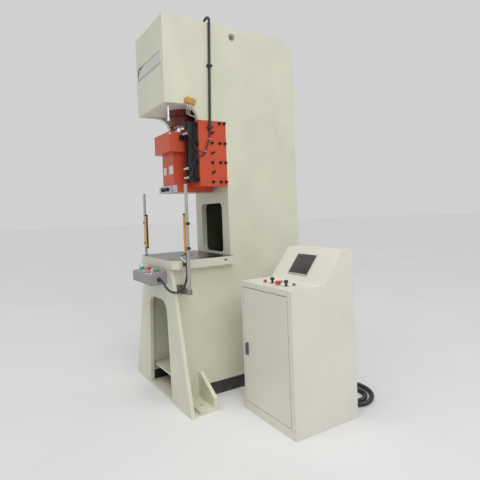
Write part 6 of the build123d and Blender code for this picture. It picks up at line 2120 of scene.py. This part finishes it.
@dataclass
class Console:
    """Control cabinet with its door, sloping panel and desk.

    Attributes:
        rivet_inset: Distance of the desk's rivets from the cabinet's sides, and from its front.
        rivet_span: Distance from the front rivets to the rear ones.
        lock_z: Middles of the lock seat's lower and upper round end.
        knobs: Body and node of each selector knob.
        panel_middle: Middle of the operator panel on the slope.
        slope: The slope in degrees.
        glass: Half the width and half the height of the step round the panel's glass.
        panel_lamp: Place of the status lamp, from the panel's middle.
    """

    rivet_inset: tuple[float, float] = (18.0, 16.0)
    rivet_span: float = 250.0
    lock_z: tuple[float, float] = (434.0, 506.0)
    knobs: tuple[tuple[Body, str], ...] = (
        (Body.LEFT_KNOB, "left_selector_knob"),
        (Body.RIGHT_KNOB, "right_selector_knob"),
    )
    panel_middle: Point = (943.0, 153.7, 1080.4)
    slope: float = 51.16
    glass: tuple[float, float] = (98.0, 76.0)
    panel_lamp: Point = (-104.5, -83.5, 7.8)

    def build(self, shop: Workshop) -> None:
        """Dresses the cabinet, its operator panel and its controls.

        Args:
            shop: Where finishes are kept.
        """
        shop.coat(Finish.CONSOLE, "console_cabinet")
        shop.coat(Finish.DOOR, "console_door")
        shop.coat(Finish.DARK_GREY, "console_lock")
        shop.coat(Finish.BEZEL, "hmi_frame")
        shop.coat(Finish.SCREEN, "hmi_screen")
        shop.coat(Finish.STEEL, "desk_collars")
        shop.coat(Finish.RED, "desk_red_button", "desk_stop_button")
        shop.coat(Finish.GREEN, "desk_rear_green_button", "desk_right_green_button")
        shop.coat(Finish.BLACK, "left_selector_knob", "right_selector_knob")
        self.fix_rivets(shop)
        self.trim_lock(shop)
        self.mark_knobs(shop)
        self.trim_panel(shop)

    def fix_rivets(self, shop: Workshop) -> None:
        """Adds the rivets at the desk's corners.

        Args:
            shop: Where finishes are kept.
        """
        shape = Shape()
        dome = [(4.4, -0.3), (4.4, 0.3), (3.6, 1.3), (2.0, 2.0), (0.6, 2.2)]
        inset_x, inset_y = self.rivet_inset
        low, high = shop.low("console_cabinet"), shop.high("console_cabinet")
        desk_z = shop.low("desk_collars").z
        front = low.y + inset_y
        for y in (front, front + self.rivet_span):
            for x in (low.x + inset_x, high.x - inset_x):
                shape.turned(dome, (x, y, desk_z), UP, 24)
        shape.finished("desk_rivets", Finish.STEEL, shop)

    def trim_lock(self, shop: Workshop) -> None:
        """Adds the pale rim round the lock's seat on the door.

        Args:
            shop: Where finishes are kept.
        """
        face, sides = shop.low("console_door").y, 48
        middle_x = shop.middle("console_lock").x
        low, high = self.lock_z
        section = ((13.2, 0.2), (14.5, -0.1), (14.4, -0.5), (12.7, -0.7), (11.6, 0.1))
        rings = []
        for radius, depth in section:
            ring = []
            for step in range(sides):
                angle = 2 * math.pi * step / sides
                middle = high if math.sin(angle) > 0 else low
                x = middle_x + radius * math.cos(angle)
                ring.append(Vector((x, face + depth, middle + radius * math.sin(angle))))
            rings.append(ring)
        shape = Shape()
        shape.skin(rings, closed=True)
        shape.finished("lock_rim", Finish.STEEL, shop, Body.DOOR)

    def mark_knobs(self, shop: Workshop) -> None:
        """Adds a white pointer line on each selector knob.

        Args:
            shop: Where finishes are kept.
        """
        for body, node in self.knobs:
            x, y, _ = shop.middle(node)
            top = shop.high(node).z
            shape = Shape()
            shape.block((x - 1.0, y - 11.5, top - 0.3), (x + 1.0, y - 1.5, top + 0.4), 0.2)
            shape.finished(f"{body.value}_line", Finish.WHITE, shop, body)

    def trim_panel(self, shop: Workshop) -> None:
        """Adds the thin step round the glass and a status lamp on the panel's frame.

        Args:
            shop: Where finishes are kept.
        """
        turn = Matrix.Translation(self.panel_middle) @ Matrix.Rotation(math.radians(self.slope), 4, "X")
        wide, tall = self.glass
        half, low, high = 0.8, 7.0, 8.1
        trim = Shape()
        for side in (-1.0, 1.0):
            x, y = side * wide, side * tall
            trim.block((-wide - 0.5, y - half, low), (wide + 0.5, y + half, high), 0.2, turn)
            trim.block((x - half, -tall - 0.5, low), (x + half, tall + 0.5, high), 0.2, turn)
        trim.finished("panel_trim", Finish.DARK_GREY, shop)
        lamp = Shape()
        lens = [(1.8, 0.0), (1.7, 0.5), (1.0, 0.8), (0.3, 0.9)]
        lamp.turned(lens, turn @ Vector(self.panel_lamp), turn.to_3x3() @ Vector(UP), 18)
        lamp.finished("panel_lamp", Finish.LAMP, shop)


@dataclass
class ControlGear:
    """Ducts, device fronts and wires on the console's mounting plate.

    Attributes:
        plate_y: Front of the mounting plate.
        duct_x: Both ends of the ducts.
        duct_depth: How far a duct stands off the plate.
        ducts_z: Lower and upper edge of each duct.
        finger: Width of a duct's finger.
        finger_pitch: Distance from one finger to the next.
        contactors_x: Left edges of the contactors.
        contactor: Width, lower edge, upper edge and front of a contactor.
        poles: Places of a contactor's screws, as shares of its width.
        terminals_x: Left edges of the terminals.
        terminal: Width, lower edge, upper edge and front of a terminal.
        wire_end: Distance from the plate at which wires end in a duct.
        wire_radius: Radius of a wire.
    """

    plate_y: float = 317.0
    duct_x: tuple[float, float] = (746.0, 1174.0)
    duct_depth: float = 56.0
    ducts_z: tuple[tuple[float, float], ...] = ((602.0, 646.0), (380.0, 424.0))
    finger: float = 5.5
    finger_pitch: float = 10.7
    contactors_x: tuple[float, ...] = (760.0, 818.0, 876.0, 934.0)
    contactor: tuple[float, float, float, float] = (45.0, 680.0, 765.0, 225.0)
    poles: tuple[float, float, float] = (0.2, 0.5, 0.8)
    terminals_x: tuple[float, ...] = tuple(760.0 + 24.0 * step for step in range(14))
    terminal: tuple[float, float, float, float] = (21.0, 295.0, 345.0, 265.0)
    wire_end: float = 20.0
    wire_radius: float = 1.5

    def build(self, shop: Workshop) -> None:
        """Dresses the gear that shows when the door is open.

        Args:
            shop: Where finishes are kept.
        """
        shop.coat(Finish.GEAR, "control_gear")
        self.lay_ducts(shop)
        self.face_devices(shop)
        self.run_wires(shop)

    def lay_ducts(self, shop: Workshop) -> None:
        """Makes the two slotted wiring ducts with their lids.

        Args:
            shop: Where finishes are kept.
        """
        shape = Shape()
        left, right = self.duct_x
        front = self.plate_y - self.duct_depth
        for low, high in self.ducts_z:
            shape.block((left, front, low - 1.0), (right, front + 2.5, high + 1.0), 0.8)
            shape.block((left, self.plate_y - 8.0, low), (right, self.plate_y - 0.2, high), 0.4)
            x = left + 4.0
            while x < right - self.finger:
                for z in (low, high - 1.6):
                    shape.block((x, front + 2.0, z), (x + self.finger, self.plate_y - 7.0, z + 1.6))
                x += self.finger_pitch
        shape.finished("gear_ducts", Finish.DUCT, shop)

    def face_devices(self, shop: Workshop) -> None:
        """Adds the stepped fronts of the contactors and the screws of all terminals.

        Args:
            shop: Where finishes are kept.
        """
        fronts, screws = Shape(), Shape()
        width, low, high, face = self.contactor
        for x in self.contactors_x:
            end = x + width
            fronts.block((x + 4.0, face - 9.0, low + 20.0), (end - 4.0, face + 1.0, high - 20.0), 1.2)
            fronts.block((x + 14.0, face - 12.0, low + 32.0), (end - 14.0, face - 8.0, high - 32.0), 0.8)
            for share in self.poles:
                for z in (low + 9.0, high - 9.0):
                    self.clamp_screw(screws, (x + share * width, face, z), 4.2)
        width, low, high, face = self.terminal
        for x in self.terminals_x:
            end = x + width
            fronts.block((x + 1.5, face - 3.0, low + 17.0), (end - 1.5, face + 1.0, high - 17.0), 0.6)
            for z in (low + 8.0, high - 8.0):
                self.clamp_screw(screws, (x + width / 2, face, z), 3.8)
        fronts.finished("gear_fronts", Finish.DARK_GREY, shop)
        screws.finished("gear_screws", Finish.STEEL, shop)

    def clamp_screw(self, shape: Shape, place: Point, radius: float) -> None:
        """Adds a terminal screw with its recess to a mesh.

        Args:
            shape: The mesh.
            place: Its seat on the device.
            radius: Radius of its head.
        """
        rim = radius - 0.8
        head = [(radius, -0.2), (radius, 0.9), (rim, 1.4), (radius * 0.45, 1.4), (radius * 0.4, 0.6)]
        shape.turned(head, place, FRONT, 20)

    def run_wires(self, shop: Workshop) -> None:
        """Runs wires from the devices' screws into the ducts.

        Args:
            shop: Where finishes are kept.
        """
        black, blue = Shape(), Shape()
        inside = self.plate_y - self.wire_end
        upper, lower = self.ducts_z
        width, low, _, face = self.contactor
        for index, x in enumerate(self.contactors_x):
            for pole, share in enumerate(self.poles):
                start = (x + share * width, face - 0.5, low + 9.0)
                lean = 3.0 * math.sin(1.7 * index + pole)
                self.wire(blue if pole == 2 else black, start, inside, upper[1] - 6.0, lean)
        width, _, high, face = self.terminal
        for index, x in enumerate(self.terminals_x):
            start = (x + width / 2, face - 0.5, high - 8.0)
            lean = 2.5 * math.sin(2.3 * index)
            self.wire(black if index % 3 else blue, start, inside, lower[0] + 6.0, lean)
        black.finished("gear_wires_black", Finish.CABLE, shop)
        blue.finished("gear_wires_blue", Finish.BLUE, shop)

    def wire(self, shape: Shape, start: Point, end_y: float, end_z: float, lean: float) -> None:
        """Adds one wire to a mesh.

        Args:
            shape: The mesh.
            start: The screw that holds it.
            end_y: How deep it ends in the duct.
            end_z: Height at which it ends there.
            lean: How far it leans to one side.
        """
        x, y, z = start
        rise = 1.0 if end_z > z else -1.0
        route = (
            (x, y, z),
            (x, y - 5.0, z + rise * 5.0),
            (x + lean, y - 7.0, z + rise * 16.0),
            (x + lean, y + 0.35 * (end_y - y), end_z - rise * 12.0),
            (x + lean * 0.6, end_y, end_z),
        )
        line = line_through(route, 8)
        shape.tube(line, [self.wire_radius] * len(line), 8)


SUB_ASSEMBLIES = (
    PhotoCamera,
    Conduits,
    Studio,
    ColumnFrame,
    GuidedSlide,
    StrokeSensing,
    LightCurtain,
    ButtonBox,
    Console,
    ControlGear,
)


def main() -> None:
    """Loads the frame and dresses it."""
    logging.basicConfig(level=logging.INFO, format="%(levelname)s %(message)s")
    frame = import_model()
    shop = Workshop(frame)
    for kind in SUB_ASSEMBLIES:
        kind().build(shop)
        LOG.info("%s is done", kind.__name__)


if __name__ == "__main__":
    main()
